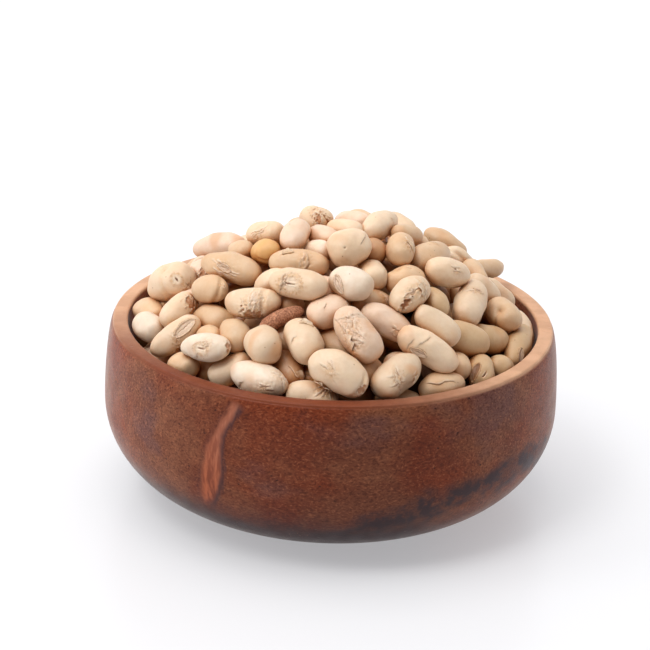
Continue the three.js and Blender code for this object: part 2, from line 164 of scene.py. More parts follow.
# What shows on those beans: the kind of mark, its middle (pixels right and down), its length
# (pixels) and its turn (degrees). A mark lies on the first bean that its line of sight meets.
MARKS = {
    "back_left": [
        ("crease", 160, 279, 30, -68), ("dent", 165, 268, 12, 0), ("hilum", 176, 280, 9, -55),
        ("crack", 186, 286, 14, 60), ("peel", 192, 304, 14, -60), ("folds", 190, 300, 12, -60),
        ("crease", 219, 291, 26, 72), ("folds", 222, 284, 9, -50), ("line", 199, 259, 12, 60),
        ("folds", 224, 271, 26, -22), ("ring", 224, 268, 16, -24), ("peel", 203, 271, 10, 60),
    ],
    "front_left": [
        ("ring", 184, 328, 24, 43), ("crack", 176, 341, 16, -75), ("peel", 180, 349, 9, 40),
        ("hilum", 200, 349, 10, -12), ("crack", 204, 344, 16, 5), ("line", 197, 357, 8, 60),
        ("peel", 228, 347, 8, 80), ("crack", 262, 388, 15, 10), ("line", 240, 385, 10, 40),
        ("line", 252, 357, 14, -50), ("crack", 281, 377, 20, -50), ("line", 296, 375, 20, -48),
        ("folds", 306, 322, 15, -15), ("line", 292, 340, 8, 60), ("line", 326, 306, 8, 80),
        ("folds", 347, 305, 8, 30), ("crack", 326, 391, 20, 0), ("crease", 362, 388, 24, 55),
        ("peel", 363, 391, 10, 30), ("line", 325, 387, 40, -38), ("crack", 330, 371, 18, -60),
        ("folds", 308, 376, 12, -40),
    ],
    "front_right": [
        ("line", 350, 316, 26, 12), ("crack", 350, 331, 36, -62), ("folds", 350, 344, 20, -58),
        ("crack", 358, 346, 12, 30), ("crack", 397, 333, 14, -45), ("dot", 374, 327, 3, 0),
        ("ring", 418, 353, 16, -30), ("line", 411, 345, 12, 60), ("line", 425, 341, 16, 45),
        ("dent", 407, 389, 20, 0), ("crack", 400, 380, 24, -60), ("folds", 416, 379, 10, 40),
        ("line", 442, 383, 26, 8), ("dent", 497, 309, 18, 0), ("ring", 522, 356, 16, 66),
        ("socket", 475, 371, 19, 78), ("slit", 485, 374, 7, 50), ("crease", 494, 318, 20, 70),
    ],
    "back_right": [
        ("ring", 479, 290, 9, -20), ("crack", 474, 291, 10, 0), ("crack", 457, 272, 13, -10),
        ("dot", 455, 270, 4, 0), ("crease", 460, 256, 16, -40), ("folds", 436, 243, 12, -27),
    ],
    "middle": [
        ("crease", 264, 261, 15, 5), ("folds", 258, 234, 17, 25), ("crack", 305, 258, 20, 80),
        ("line", 307, 263, 20, 84), ("folds", 288, 252, 14, -5), ("hilum", 289, 284, 15, -8),
        ("line", 281, 284, 20, 72), ("crack", 284, 278, 15, 60), ("folds", 251, 302, 26, 84),
        ("folds", 258, 303, 26, 80), ("crease", 262, 300, 26, 85), ("peel", 253, 316, 20, -5),
        ("crack", 248, 314, 16, 10), ("peel", 323, 223, 18, -50), ("folds", 322, 219, 16, -60),
        ("folds", 409, 246, 18, -70), ("crack", 393, 220, 7, 0), ("dent", 395, 268, 18, 0),
        ("hole", 407, 303, 13, 50), ("crack", 411, 293, 20, 50), ("folds", 424, 290, 22, 76),
        ("ring", 338, 284, 18, -62), ("folds", 386, 298, 14, -35), ("slit", 409, 268, 4, 0),
        ("line", 364, 239, 14, 60), ("dot", 345, 248, 3, 0),
    ],
}

# Skin that stands off its bean: the middle of the edge that still holds (pixels), the length of
# that edge (pixels) and its turn (degrees). The loose side lies to the left of the turn.
FLAPS = [
    (288, 254, 13, -5), (306, 324, 14, -15), (411, 247, 16, -72), (423, 290, 17, 76),
    (348, 343, 17, -60), (322, 386, 20, -38), (416, 380, 11, 45), (243, 320, 10, 10),
    (298, 377, 12, -50), (325, 220, 13, 120), (196, 303, 10, -60), (308, 374, 9, -30),
]

PIXELS_PER_MM = VIEW["focal_pixels"] / VIEW["distance"]

# Colours in sRGB: of the beans by their tone, and of all else.
TONES = {
    "pale": (238, 218, 196),
    "cream": (233, 206, 176),
    "tan": (222, 188, 152),
    "gold": (230, 181, 118),
    "pink": (235, 206, 182),
    "olive": (210, 176, 136),
    "dark": (188, 143, 104),
    "brown": (150, 94, 62),
}
COLOURS = {
    "crack": (150, 101, 66), "deep crack": (92, 56, 34), "scar": (214, 158, 98),
    "torn": (186, 112, 60), "dry skin": (238, 222, 202), "toast": (216, 152, 96),
    "husk dark": (136, 84, 58), "husk light": (208, 146, 110), "husk patch": (146, 84, 56),
    "wood red": (122, 54, 30), "wood brown": (128, 76, 52), "wood band": (94, 42, 27),
    "wood bruise": (98, 66, 64), "fibre dark": (66, 28, 17), "fibre light": (168, 102, 70),
    # The foot colour is painted shade at the bowl's base.
    "dark layer": (56, 41, 45), "foot": (46, 30, 33), "pore": (40, 19, 14),
    "fleck": (206, 146, 112), "halo": (66, 44, 47),
    "streak light top": (196, 124, 94), "streak light foot": (184, 98, 62),
    "streak dark top": (160, 92, 68), "streak dark foot": (126, 60, 38),
    # The far rim colour is a painted reflection.
    "rim near": (128, 66, 42), "rim far reflection": (228, 180, 143),
}
# What a colour is multiplied by.
MOTTLE_TINT = (1.0, 0.92, 0.83)
GRAIN_TINT = (0.92, 0.86, 0.78)
# Painted shade for skins that lie deep in the heap, and for the deepest of them.
DEEP_SHADE_TINT = (0.88, 0.70, 0.50)  # where a skin lies deep among its neighbours
DEEPEST_SHADE_TINT = (0.38, 0.23, 0.13)
# Painted shade in the clefts where beans lie against each other.
CONTACT_SHADE_TINT = (0.72, 0.5, 0.32)  # where others lie close against it
RIM_GRAIN_TINT = (0.6, 0.5, 0.44)
# A painted sheen that pales the wood at the bowl's left and right.
SIDE_SHEEN_GAIN = (1.3, 1.45, 1.55)  # at the left and right of the bowl
# The core's two colours of painted shade, as linear light.
CORE_DARK = (0.05, 0.022, 0.009)
CORE_LIGHT = (0.1, 0.05, 0.022)


def linear(colour):
    """An sRGB colour of 0 to 255 as linear light."""
    share = np.asarray(colour, float) / 255
    return np.where(share <= 0.04045, share / 12.92, ((share + 0.055) / 1.055) ** 2.4)


def tint(name):
    return tuple(linear(COLOURS[name]))


def unit(vector):
    return vector / np.linalg.norm(vector)


# ---------------------------------------------------------------- where the beans lie

DOME_FALL = (CREST_HEIGHT - EDGE_HEIGHT) / EDGE_RADIUS**2
DEPTH_PER_HIDDEN_WIDTH = 1.3
LEAST_FACING = 0.35
LEAST_SHOWN_SHARE = 0.02
STREAM_FACTOR = 16807
STREAM_PRIME = 2**31 - 1


def random_stream(seed):
    """Shares of 0 to 1 by Lehmer's rule."""
    state = seed
    while True:
        state = (state * STREAM_FACTOR) % STREAM_PRIME
        yield state / STREAM_PRIME


def dome_height(x, y):
    return CREST_HEIGHT - DOME_FALL * (x * x + y * y)


def dome_normal(x, y):
    return unit(np.array([2 * DOME_FALL * x, 2 * DOME_FALL * y, 1.0]))


def viewpoint():
    """The eye of the photograph, with the directions that lie level and upright in the image."""
    angles = ("elevation", "yaw", "pitch", "roll")
    elevation, yaw, pitch, roll = (math.radians(VIEW[name]) for name in angles)
    distance = VIEW["distance"]
    eye = np.array([
        0.0,
        -distance * math.cos(elevation),
        VIEW["aim_height"] + distance * math.sin(elevation),
    ])
    forward = np.array([
        math.sin(yaw) * math.cos(pitch),
        math.cos(yaw) * math.cos(pitch),
        -math.sin(pitch),
    ])
    level = unit(np.cross(forward, (0.0, 0.0, 1.0)))
    right = math.cos(roll) * level + math.sin(roll) * np.cross(level, forward)
    return SimpleNamespace(eye=eye, forward=forward, right=right, up=np.cross(right, forward))


def ray_through(view, u, v):
    ray = view.forward + view.right * (u - FRAME_PIXELS / 2) / VIEW["focal_pixels"]
    return unit(ray + view.up * (FRAME_PIXELS / 2 - v) / VIEW["focal_pixels"])


def in_image(view, turn):
    """The direction that lies at that turn in the image."""
    angle = math.radians(turn)
    return view.right * math.cos(angle) + view.up * math.sin(angle)


def distance_to_dome(view, ray):
    """How far along a line of sight it meets the dome, or passes nearest above it."""
    eye = view.eye
    square = DOME_FALL * (ray[0] ** 2 + ray[1] ** 2)
    straight = 2 * DOME_FALL * (eye[0] * ray[0] + eye[1] * ray[1]) + ray[2]
    constant = DOME_FALL * (eye[0] ** 2 + eye[1] ** 2) + eye[2] - CREST_HEIGHT
    inside = max(0.0, straight**2 - 4 * square * constant)
    return (-straight - math.sqrt(inside)) / (2 * square)


def seen_bean(view, row):
    """A bean of the photograph, laid on the dome. It lies along the surface unless the length
    that shows says that it tips."""
    u, v, length, width, turn, sink, tone = row
    ray = ray_through(view, u, v)
    distance = distance_to_dome(view, ray)
    scale = distance / VIEW["focal_pixels"]
    shown_half = length / 2 * scale
    shown_half_width = width / 2 * scale
    if sink is None:
        half_width = max(shown_half_width, NARROWEST_BEAN / 2)
        sink = 2 * (half_width - shown_half_width) * DEPTH_PER_HIDDEN_WIDTH
    else:
        half_width = shown_half_width
    middle = view.eye + ray * (distance + sink)
    normal = dome_normal(middle[0], middle[1])
    level = in_image(view, turn)
    lie = math.atan(-level @ normal / max(-ray @ normal, LEAST_FACING))
    across = half_width * math.sin(lie)
    lying = math.sqrt(max(shown_half**2 - across**2, 0)) / math.cos(lie)
    half = min(max(lying, SHORTEST_BEAN / 2), LONGEST_BEAN / 2)
    shown_share = (shown_half**2 - half_width**2) / (half**2 - half_width**2)
    tip_cosine = math.sqrt(min(max(shown_share, LEAST_SHOWN_SHARE), 1))
    tip = math.copysign(math.acos(tip_cosine), lie)
    axis = level * math.cos(tip) - ray * math.sin(tip)
    return SimpleNamespace(
        middle=middle, axis=axis, half=half, half_width=half_width, ray=ray, tone=tone
    )


def plain_bean(random, spot):
    """A bean for a place that the photograph doesn't show."""
    normal = dome_normal(spot[0], spot[1])
    heading = 2 * math.pi * next(random)
    axis = np.array([math.cos(heading), math.sin(heading), 0.0])
    axis = unit(axis - normal * (axis @ normal))
    axis = unit(axis + normal * TILT_SPREAD * (next(random) - 0.5))
    middle = spot + np.array([0, 0, HEIGHT_SPREAD * (next(random) - 0.5)])
    half = BEAN_LENGTH / 2 * (1 + SIZE_SPREAD * (2 * next(random) - 1))
    half_width = BEAN_WIDTH / 2 * (1 + SIZE_SPREAD * (2 * next(random) - 1))
    return SimpleNamespace(
        middle=middle, axis=axis, half=half, half_width=half_width, ray=None, tone=None
    )


def is_out_of_sight(view, seen, spot):
    """Whether the photographed beans hide the upper edge of a bean at that spot."""
    middles = np.array([bean.middle for bean in seen]) - view.eye
    widths = np.array([bean.half_width for bean in seen])
    for side in (-1, 0, 1):
        corner = spot + (view.up + side * view.right) * BEAN_WIDTH / 2 - view.eye
        reach = np.linalg.norm(corner)
        ray = corner / reach
        along = middles @ ray
        aside = np.linalg.norm(middles - along[:, None] * ray, axis=1)
        if not ((along < reach) & (aside < widths)).any():
            return False
    return True


def dome_places(places):
    """Places spread evenly over the dome, from its top outward."""
    turn_per_place = math.pi * (3 - math.sqrt(5))
    for place in range(places):
        radius = EDGE_RADIUS * math.sqrt((place + 0.5) / places)
        yield radius * math.cos(place * turn_per_place), radius * math.sin(place * turn_per_place)


def fill_beans(view, seen, random):
    """The photographed beans, and others where none lies yet, low enough not to show."""
    beans = list(seen)
    for x, y in dome_places(FILL_PLACES):
        spots = [np.array([x, y, dome_height(x, y) - drop]) for drop in FILL_DROPS]
        spot = next((s for s in spots if is_out_of_sight(view, seen, s)), None)
        if spot is not None and is_free(beans, spot, BEAN_SPACING):
            beans.append(plain_bean(random, spot))
    return beans


def is_free(beans, spot, spacing):
    return all(np.linalg.norm(bean.middle - spot) > spacing for bean in beans)


# ---------------------------------------------------------------- settling the beans

BALLS_PER_BEAN = 5
SETTLING_STEPS = 120
PARTING_SHARE = 0.3
PULL_ONTO_SIGHT_LINE = 0.25
PULL_ALONG_SIGHT_LINE = 0.02
PULL_TO_PLACE = 0.04
LEAST_INWARD = 0.01


def settle(beans, fixed=0):
    """Beans that cross are parted step by step. A bean of the photograph is held to its line of
    sight, and any other to its place on the dome. The first `fixed` beans stay where they are."""
    middle = np.array([bean.middle for bean in beans])
    start = middle.copy()
    axis = np.array([bean.axis for bean in beans])
    half = np.array([bean.half for bean in beans])
    width = np.array([bean.half_width for bean in beans])
    seen = np.array([bean.ray is not None for bean in beans])
    ray = np.array([bean.ray if bean.ray is not None else (0, 0, 0) for bean in beans])
    free = np.arange(len(beans)) >= fixed
    reach = (half**2 - width**2) / half
    offset = reach[:, None] * np.linspace(-1, 1, BALLS_PER_BEAN)
    radius = width[:, None] * np.sqrt(1 - offset**2 / (half**2 - width**2)[:, None])
    first, second = np.triu_indices(len(beans), 1)
    movable = free[first] | free[second]
    first, second = first[movable], second[movable]
    for _ in range(SETTLING_STEPS):
        near = np.linalg.norm(middle[first] - middle[second], axis=1) < LONGEST_BEAN
        a, b = first[near], second[near]
        ball = middle[:, None] + axis[:, None] * offset[:, :, None]
        apart = ball[b][:, None] - ball[a][:, :, None]
        space = np.linalg.norm(apart, axis=3)
        depth = (radius[a][:, :, None] + radius[b][:, None] - space).reshape(len(a), -1)
        worst = depth.argmax(axis=1)
        pick = np.arange(len(a))
        deepest = np.maximum(depth[pick, worst], 0)
        way = apart.reshape(len(a), -1, 3)[pick, worst]
        way = way / space.reshape(len(a), -1)[pick, worst][:, None]
        parting = PARTING_SHARE * way * deepest[:, None]
        shift = np.zeros_like(middle)
        np.add.at(shift, a, -parting)
        np.add.at(shift, b, parting)
        middle = middle + shift * free[:, None]
        strayed = middle - start
        along = (strayed * ray).sum(1)[:, None]
        to_line = -PULL_ONTO_SIGHT_LINE * (strayed - along * ray)
        to_line -= PULL_ALONG_SIGHT_LINE * along * ray
        to_place = -PULL_TO_PLACE * strayed
        middle = middle + np.where(seen[:, None], to_line, to_place) * free[:, None]
        middle = middle + wall_shift(middle, axis, offset, radius) * free[:, None]
    for bean, place in zip(beans, middle):
        bean.middle = place


def wall_shift(middle, axis, offset, radius):
    """The shift that brings each bean back inside the bowl, or up onto its rim."""
    ball = middle[:, None] + axis[:, None] * offset[:, :, None]
    out = np.hypot(ball[..., 0], ball[..., 1])
    inward = np.maximum(LEAST_INWARD, MOUTH_RADIUS - out)
    above = np.maximum(0, ball[..., 2] - BOWL_HEIGHT)
    clear = np.hypot(inward, above)
    depth = radius + WALL_GAP - clear
    pick = np.arange(len(middle))
    worst = depth.argmax(axis=1)
    deepest = np.maximum(depth[pick, worst], 0)
    push = (deepest * inward[pick, worst] / clear[pick, worst] / out[pick, worst])[:, None]
    shift = -push * ball[pick, worst]
    shift[:, 2] = deepest * above[pick, worst] / clear[pick, worst]
    return shift


LOWER_DROP = 8.0  # from the top layer of beans to the one below it
LOWER_SPACING = 6.0
LOWER_PLACES = 500


def lay_beans(view):
    """The top layer, and the beans below it that show in its gaps."""
    seen = [seen_bean(view, row) for region in SEEN_BEANS.values() for row in region]
    random = random_stream(SEED)
    top = fill_beans(view, seen, random)
    settle(top)
    every = list(top)
    for x, y in dome_places(LOWER_PLACES):
        spot = np.array([x, y, dome_height(x, y) - LOWER_DROP])
        if is_free(every, spot, LOWER_SPACING):
            every.append(plain_bean(random, spot))
    settle(every, fixed=len(top))
    return top, every[len(top):]


# ---------------------------------------------------------------- the shape of a bean

# Squares along an edge of the cube sphere: for a bean with marks where the photograph shows it
# and elsewhere, for a bean without marks, and for one that lies below the top layer.
MARKED_DETAIL = 33
MARKED_BEHIND_DETAIL = 22
PLAIN_DETAIL = 16
LOWER_DETAIL = 9
SEEDS_PER_BEAN = 10  # for its marks


def cube_sphere(squares):
    """Unit directions spread over a sphere as the six faces of a cube, and their quads."""
    steps = np.tan(np.linspace(-math.pi / 4, math.pi / 4, squares + 1))
    across, along = np.meshgrid(steps, steps, indexing="ij")
    ones = np.ones_like(across)
    corner = np.arange(squares * (squares + 1)).reshape(squares, squares + 1)[:, :squares]
    quad = np.stack([corner, corner + squares + 1, corner + squares + 2, corner + 1], -1)
    sheets = []
    quads = []
    for axis in range(3):
        for side in (1, -1):
            sheet = np.empty(across.shape + (3,))
            sheet[..., axis] = side * ones
            sheet[..., (axis + 1) % 3] = across * side
            sheet[..., (axis + 2) % 3] = along
            quads.append(quad.reshape(-1, 4) + len(sheets) * across.size)
            sheets.append(sheet.reshape(-1, 3))
    points = np.concatenate(sheets)
    points /= np.linalg.norm(points, axis=1)[:, None]
    _, keep, same = np.unique(np.round(points, 6), axis=0, return_index=True, return_inverse=True)
    return points[keep], same.reshape(-1)[np.concatenate(quads)]


WAVE_STRETCH = (0.7, 1.5)


class Waves:
    """Smooth noise: the sum of plane waves in all directions, of about unit height."""

    def __init__(self, rng, length, count=18):
        heading = rng.normal(size=(count, 3))
        heading /= np.linalg.norm(heading, axis=1)[:, None]
        stretch = rng.uniform(*WAVE_STRETCH, size=(count, 1))
        self.number = heading * 2 * math.pi / length * stretch
        self.phase = rng.uniform(0, 2 * math.pi, size=count)
        self.height = math.sqrt(2 / count)

    def __call__(self, points):
        return self.height * np.cos(points @ self.number.T + self.phase).sum(axis=1)


wave_rng = np.random.default_rng(SEED)
SWELLS = Waves(wave_rng, 9.0)
LUMPS = Waves(wave_rng, 3.6)
RAGGED = Waves(wave_rng, 0.95)
TONE_WAVES = Waves(wave_rng, 7.0)
SWELL_HEIGHT = 0.13
LUMP_HEIGHT = 0.045
SHRINKAGE = 0.12  # brings the crests of the waves nearer to the bean's own size

# The ranges of a bean's build: how square its ends are, how much it tapers, its flatness as a
# share of the usual one, and how far it bends.
BLUNTNESS = (2.15, 2.6)
TAPER = (-0.09, 0.09)
FLATNESS = (0.95, 1.04)
BEND = (0.0, 0.07)
BEND_LEVEL = 0.4  # the share at which a bend crosses the straight axis
NOISE_REACH = 50
SHADE_SPREAD = 0.035
RANDOM_TONES = ("cream", "cream", "tan", "tan", "pale", "pink", "cream", "olive")


def give_character(bean, rng, index):
    """The uneven build of one bean: its own frame, ends, taper, bend and place in the noise."""
    normal = dome_normal(bean.middle[0], bean.middle[1])
    side = unit(np.cross(bean.axis, normal))
    bean.frame = np.stack([bean.axis, side, np.cross(bean.axis, side)])
    bean.index = index
    bean.blunt = rng.uniform(*BLUNTNESS)
    bean.taper = rng.uniform(*TAPER)
    bean.flat = BEAN_FLATNESS * rng.uniform(*FLATNESS)
    bean.bend = rng.uniform(*BEND)
    bean.bend_way = rng.uniform(0, 2 * math.pi)
    bean.place = rng.uniform(-NOISE_REACH, NOISE_REACH, size=3)
    bean.shade = rng.normal(0, SHADE_SPREAD)
    bean.toast = rng.uniform(0.0, 1.0)
    bean.marks = []
    if bean.tone is None:
        bean.tone = RANDOM_TONES[rng.integers(len(RANDOM_TONES))]


def body_points(bean, way):
    """The unmarked surface of a bean, in its own frame, for unit directions."""
    x, y, z = way.T
    round_part = np.hypot(y, z)
    blunt = (np.abs(x) ** bean.blunt + round_part**bean.blunt) ** (-1 / bean.blunt)
    swell = 1 + bean.taper * x * blunt
    points = np.stack([
        bean.half * x * blunt,
        bean.half_width * y * blunt * swell,
        bean.half_width * bean.flat * z * blunt * swell,
    ], 1)
    bow = bean.bend * bean.half * ((x * blunt) ** 2 - BEND_LEVEL)
    points[:, 1] += bow * math.cos(bean.bend_way)
    points[:, 2] += bow * math.sin(bean.bend_way)
    outward = way / np.linalg.norm(way, axis=1)[:, None]
    spot = points + bean.place
    lumps = SWELL_HEIGHT * SWELLS(spot) + LUMP_HEIGHT * LUMPS(spot)
    return points + outward * (lumps - SHRINKAGE)[:, None]


NUDGE = 0.01  # from a direction to the two beside it that give the surface's slope
ODD_WAY = (0.3, 0.5, 0.8)  # any direction: a nudge is square to it


def surface_at(bean, way):
    """A point of the unmarked surface and the outward direction there."""
    near = np.stack([way, way + NUDGE * np.cross(way, ODD_WAY), way])
    other = np.cross(way, near[1] - way)
    near[2] = way + NUDGE * unit(other)
    near /= np.linalg.norm(near, axis=1)[:, None]
    points = body_points(bean, near)
    normal = unit(np.cross(points[1] - points[0], points[2] - points[0]))
    return points[0], normal * np.sign(normal @ way)


def add_mark(bean, kind, way, heading, length):
    """Puts a mark of that length (mm) on a bean, at a direction and a heading of its frame."""
    centre, normal = surface_at(bean, way)
    along = unit(heading - normal * (heading @ normal))
    bean.marks.append(SimpleNamespace(
        kind=kind, way=way, centre=centre, normal=normal, along=along,
        across=np.cross(normal, along), length=length,
        seed=len(bean.marks) + SEEDS_PER_BEAN * bean.index,
    ))


def place_marks(view, beans):
    """Each mark of the photograph goes on the first bean that its line of sight meets."""
    for region in MARKS.values():
        for kind, u, v, length, turn in region:
            bean, way = first_bean(view, beans, u, v)
            if bean:
                heading = bean.frame @ in_image(view, turn)
                add_mark(bean, kind, way, heading, length / PIXELS_PER_MM)


def first_bean(view, beans, u, v):
    """The first bean on a line of sight, and the direction from its middle where that meets it."""
    ray = ray_through(view, u, v)
    nearest = (math.inf, None, None)
    for bean in beans:
        size = np.array([bean.half, bean.half_width, bean.half_width * bean.flat])
        start = bean.frame @ (view.eye - bean.middle) / size
        step = bean.frame @ ray / size
        square, cross, rest = step @ step, start @ step, start @ start - 1
        inside = cross * cross - square * rest
        if inside > 0:
            distance = (-cross - math.sqrt(inside)) / square
            if distance < nearest[0]:
                nearest = (distance, bean, unit(start + step * distance))
    return nearest[1:]


# The marks of beans that the photograph doesn't show: each row holds for draws below its share,
# and has kinds of mark with their shortest and longest (mm).
RANDOM_MARKS = (
    (0.22, ("ring", 3.2, 4.4)),
    (0.36, ("slit", 2, 3), ("crack", 3, 4.5)),
    (0.52, ("crack", 3.5, 6)),
    (0.62, ("dent", 3.5, 5)),
    (0.7, ("line", 4, 7)),
)
HEADING_SPREAD = 0.3
SIDEWAYS = (0.5, 1, 1)  # fewer marks at the ends of a bean


def random_marks(bean, rng):
    """Gives a bean a row of the random marks, on its upper side, or none."""
    draw = rng.uniform()
    way = unit(rng.normal(size=3) * SIDEWAYS)
    if bean.frame[2][2] * way[2] + bean.frame[1][2] * way[1] < 0:
        way = -way
    heading = np.array([1.0, rng.normal(0, HEADING_SPREAD), 0])
    marks = next((row for limit, *row in RANDOM_MARKS if draw < limit), ())
    for kind, shortest, longest in marks:
        add_mark(bean, kind, way, heading, rng.uniform(shortest, longest))


def bump(distance, width):
    return np.exp(-((distance / width) ** 2))


def edge(distance, width):
    """0 outside and 1 inside a border at zero, softened over the width."""
    return 0.5 - 0.5 * np.tanh(distance / width)


# Each kind of mark gives its height (mm), how dark it is cracked, how tanned it is, how pale and
# dry, and how torn. The bare numbers in them are millimetres, shares of the mark's length, or the
# strengths of those looks.


def mark_ring(mark, along, across, ragged):
    """A hilum scar: a raised spindle-shaped lip round a pale sunken floor with a slit in it."""
    half, half_width = mark.length / 2, 0.2 * mark.length
    spindle = half_width * np.sqrt(np.clip(1 - np.abs(along / half) ** 1.7, 0, 1))
    beyond = np.maximum(0, np.abs(along) - half)
    rim = np.hypot(np.abs(across) - spindle, beyond) + 0.03 * ragged
    inside = edge(np.abs(across) - spindle + beyond * 3, 0.1)
    slit = bump(across - 0.06 * ragged, 0.1) * edge(np.abs(along) - 0.7 * half, 0.2)
    height = 0.2 * bump(rim, 0.17) - 0.16 * inside - 0.14 * slit
    outline = bump(rim - 0.23, 0.1) * (1 - inside) + 0.8 * bump(rim - 0.18, 0.09) * inside
    return height, 0.75 * outline + 0.7 * slit, 0.5 * bump(rim, 0.7), 0.6 * inside, 0.2 * inside


def mark_socket(mark, along, across, ragged):
    """A hilum scar whose floor has sunk and darkened."""
    height, dark, tanned, floor, torn = mark_ring(mark, along, across, ragged)
    return height - 0.15 * floor, np.maximum(dark, 1.5 * floor), tanned, 0 * floor, torn


def mark_slit(mark, along, across, ragged):
    """A dark slit in a small hollow."""
    length = mark.length
    spread = np.hypot(along / (0.75 * length), across / (0.42 * length))
    slit = bump(across + 0.05 * ragged, 0.13) * edge(np.abs(along) - 0.5 * length, 0.15)
    lips = bump(np.abs(across) - 0.32, 0.14) * edge(np.abs(along) - 0.45 * length, 0.2)
    height = -0.3 * bump(spread, 1) - 0.3 * slit + 0.1 * lips
    return height, slit, 0.5 * bump(spread, 0.9), 0.5 * lips, 0 * slit


def mark_hilum(mark, along, across, ragged):
    """A short dark slit in a pale dimple, with tanned skin about it."""
    length = mark.length
    spread = np.hypot(along / (0.8 * length), across / (0.6 * length)) + 0.05 * ragged
    slit = bump(across + 0.07 * ragged, 0.17) * edge(np.abs(along) - 0.32 * length, 0.2)
    lips = bump(np.abs(across) - 0.38, 0.16) * edge(np.abs(along) - 0.4 * length, 0.3)
    height = -0.42 * bump(spread, 0.8) - 0.2 * slit + 0.12 * lips
    return height, slit, 0.8 * bump(spread - 0.95, 0.3), 0.7 * bump(spread, 0.7), 0 * slit


# How far the lines of each kind of wrinkled patch turn from its heading (radians), the share of
# them that cross it, and how dark and how pale they are.
LINE_SPREAD = {"crack": (0.4, 0.15, 0.7, 0.6), "folds": (0.14, 0.0, 0.35, 0.8)}
LINES_PER_MM = 1.6
CROSSING_TURN = 1.3


def mark_cracks(mark, along, across, ragged):
    """A wrinkled patch: short wavering grooves with raised lips, branching or side by side."""
    rng = np.random.default_rng(mark.seed)
    spread, crossing_share, dark, pale = LINE_SPREAD[mark.kind]
    length = mark.length
    groove = np.zeros(len(along))
    lip = np.zeros(len(along))
    for _ in range(max(3, round(LINES_PER_MM * length))):
        place_along, place_across = rng.uniform(-0.4, 0.4, 2) * length * (1, 0.6)
        turn = rng.normal(0, spread) + (CROSSING_TURN if rng.uniform() < crossing_share else 0)
        size = length * rng.uniform(0.25, 0.75)
        strength = rng.uniform(0.4, 1.0)
        waver, phase = rng.uniform(1.4, 2.8), rng.uniform(0, 2 * math.pi)
        x, y = along - place_along, across - place_across
        run = x * math.cos(turn) + y * math.sin(turn)
        aside = y * math.cos(turn) - x * math.sin(turn)
        aside = aside - 0.13 * np.sin(run * waver + phase) - 0.06 * ragged
        reach = edge(np.abs(run) - size / 2, 0.15) * strength
        groove = np.maximum(groove, bump(aside, 0.12) * reach)
        lip = np.maximum(lip, bump(aside - 0.3, 0.18) * reach)
    patch = bump(np.hypot(along / length, across / (0.7 * length)), 0.55)
    height = 0.12 * lip - 0.14 * groove + 0.04 * patch * ragged
    return height, dark * groove, 0.65 * patch, pale * lip, 0.3 * patch * groove


def mark_line(mark, along, across, ragged):
    """One long crack: the skin on one side stands a little above the other."""
    length = mark.length
    wave = 0.05 * length * np.sin(along * 1.3 + length) + 0.07 * ragged
    reach = edge(np.abs(along) - 0.5 * length, 0.35)
    gap = bump(across - wave, 0.11) * reach
    step = np.tanh((across - wave) / 0.1) * reach * bump(across - wave, 1.1)
    lip = bump(across - wave - 0.2, 0.13) * reach
    tanned = 0.3 * bump(across - wave, 0.5) * reach
    return 0.11 * step - 0.12 * gap, 0.65 * gap, tanned, 0.5 * lip, 0 * gap


def mark_crease(mark, along, across, _):
    """A soft valley that parts a bean into two lobes."""
    reach = edge(np.abs(along) - 0.5 * mark.length, 0.5)
    valley = bump(across - 0.08 * along**2 / mark.length, 0.55) * reach
    return -0.42 * valley, 0 * valley, 0.35 * valley, 0 * valley, 0 * valley


def mark_dent(mark, along, across, _):
    """A broad hollow."""
    hollow = bump(np.hypot(along, across) / (0.5 * mark.length), 0.9)
    return -0.24 * mark.length * hollow, 0 * hollow, 0.25 * hollow, 0 * hollow, 0 * hollow


def mark_peel(mark, along, across, ragged):
    """A place where the skin has come away, with a ragged, slightly lifted border."""
    half = 0.5 * mark.length
    spread = np.hypot(along / half, across / (0.6 * half)) - 1 + 0.2 * ragged
    inside = edge(spread, 0.15)
    lip = bump(spread - 0.17, 0.16)
    height = 0.18 * lip - 0.2 * inside
    return height, 0.45 * bump(spread, 0.1), 0.9 * bump(spread, 0.5), 0.6 * lip, 0.75 * inside


def mark_hole(mark, along, across, ragged):
    """A burst in the skin, dark and orange inside."""
    half = 0.5 * mark.length
    spread = np.hypot(along / half, across / (0.42 * half)) - 1 + 0.22 * ragged
    inside = edge(spread, 0.14)
    lip = bump(spread - 0.2, 0.18)
    deep = edge(spread + 0.45, 0.15)
    return 0.22 * lip - 0.5 * inside, 0.6 * deep, 0.8 * bump(spread, 0.6), 0.7 * lip, 1.0 * inside


def mark_dot(_mark, along, across, _):
    """A pit."""
    pit = bump(np.hypot(along, across), 0.25)
    return -0.25 * pit, pit, 0 * pit, 0 * pit, 0 * pit


MARK_SHAPES = {
    "ring": mark_ring, "slit": mark_slit, "hilum": mark_hilum, "crack": mark_cracks,
    "folds": mark_cracks, "line": mark_line, "crease": mark_crease, "dent": mark_dent,
    "peel": mark_peel, "hole": mark_hole, "dot": mark_dot, "socket": mark_socket,
}


def gather_towards(way, centres, pull=0.5):
    """Crowds the directions round the middle of the marks, so that their detail has points."""
    centre = unit(np.sum(centres, axis=0))
    cosine = np.clip(way @ centre, -1, 1)
    angle = np.arccos(cosine)
    rest = way - cosine[:, None] * centre
    rest /= np.maximum(np.linalg.norm(rest, axis=1), 1e-9)[:, None]
    drawn = angle - pull * np.sin(angle)
    return np.cos(drawn)[:, None] * centre + np.sin(drawn)[:, None] * rest


MASKS = ("crack", "scar", "pale", "torn", "toast", "deep")
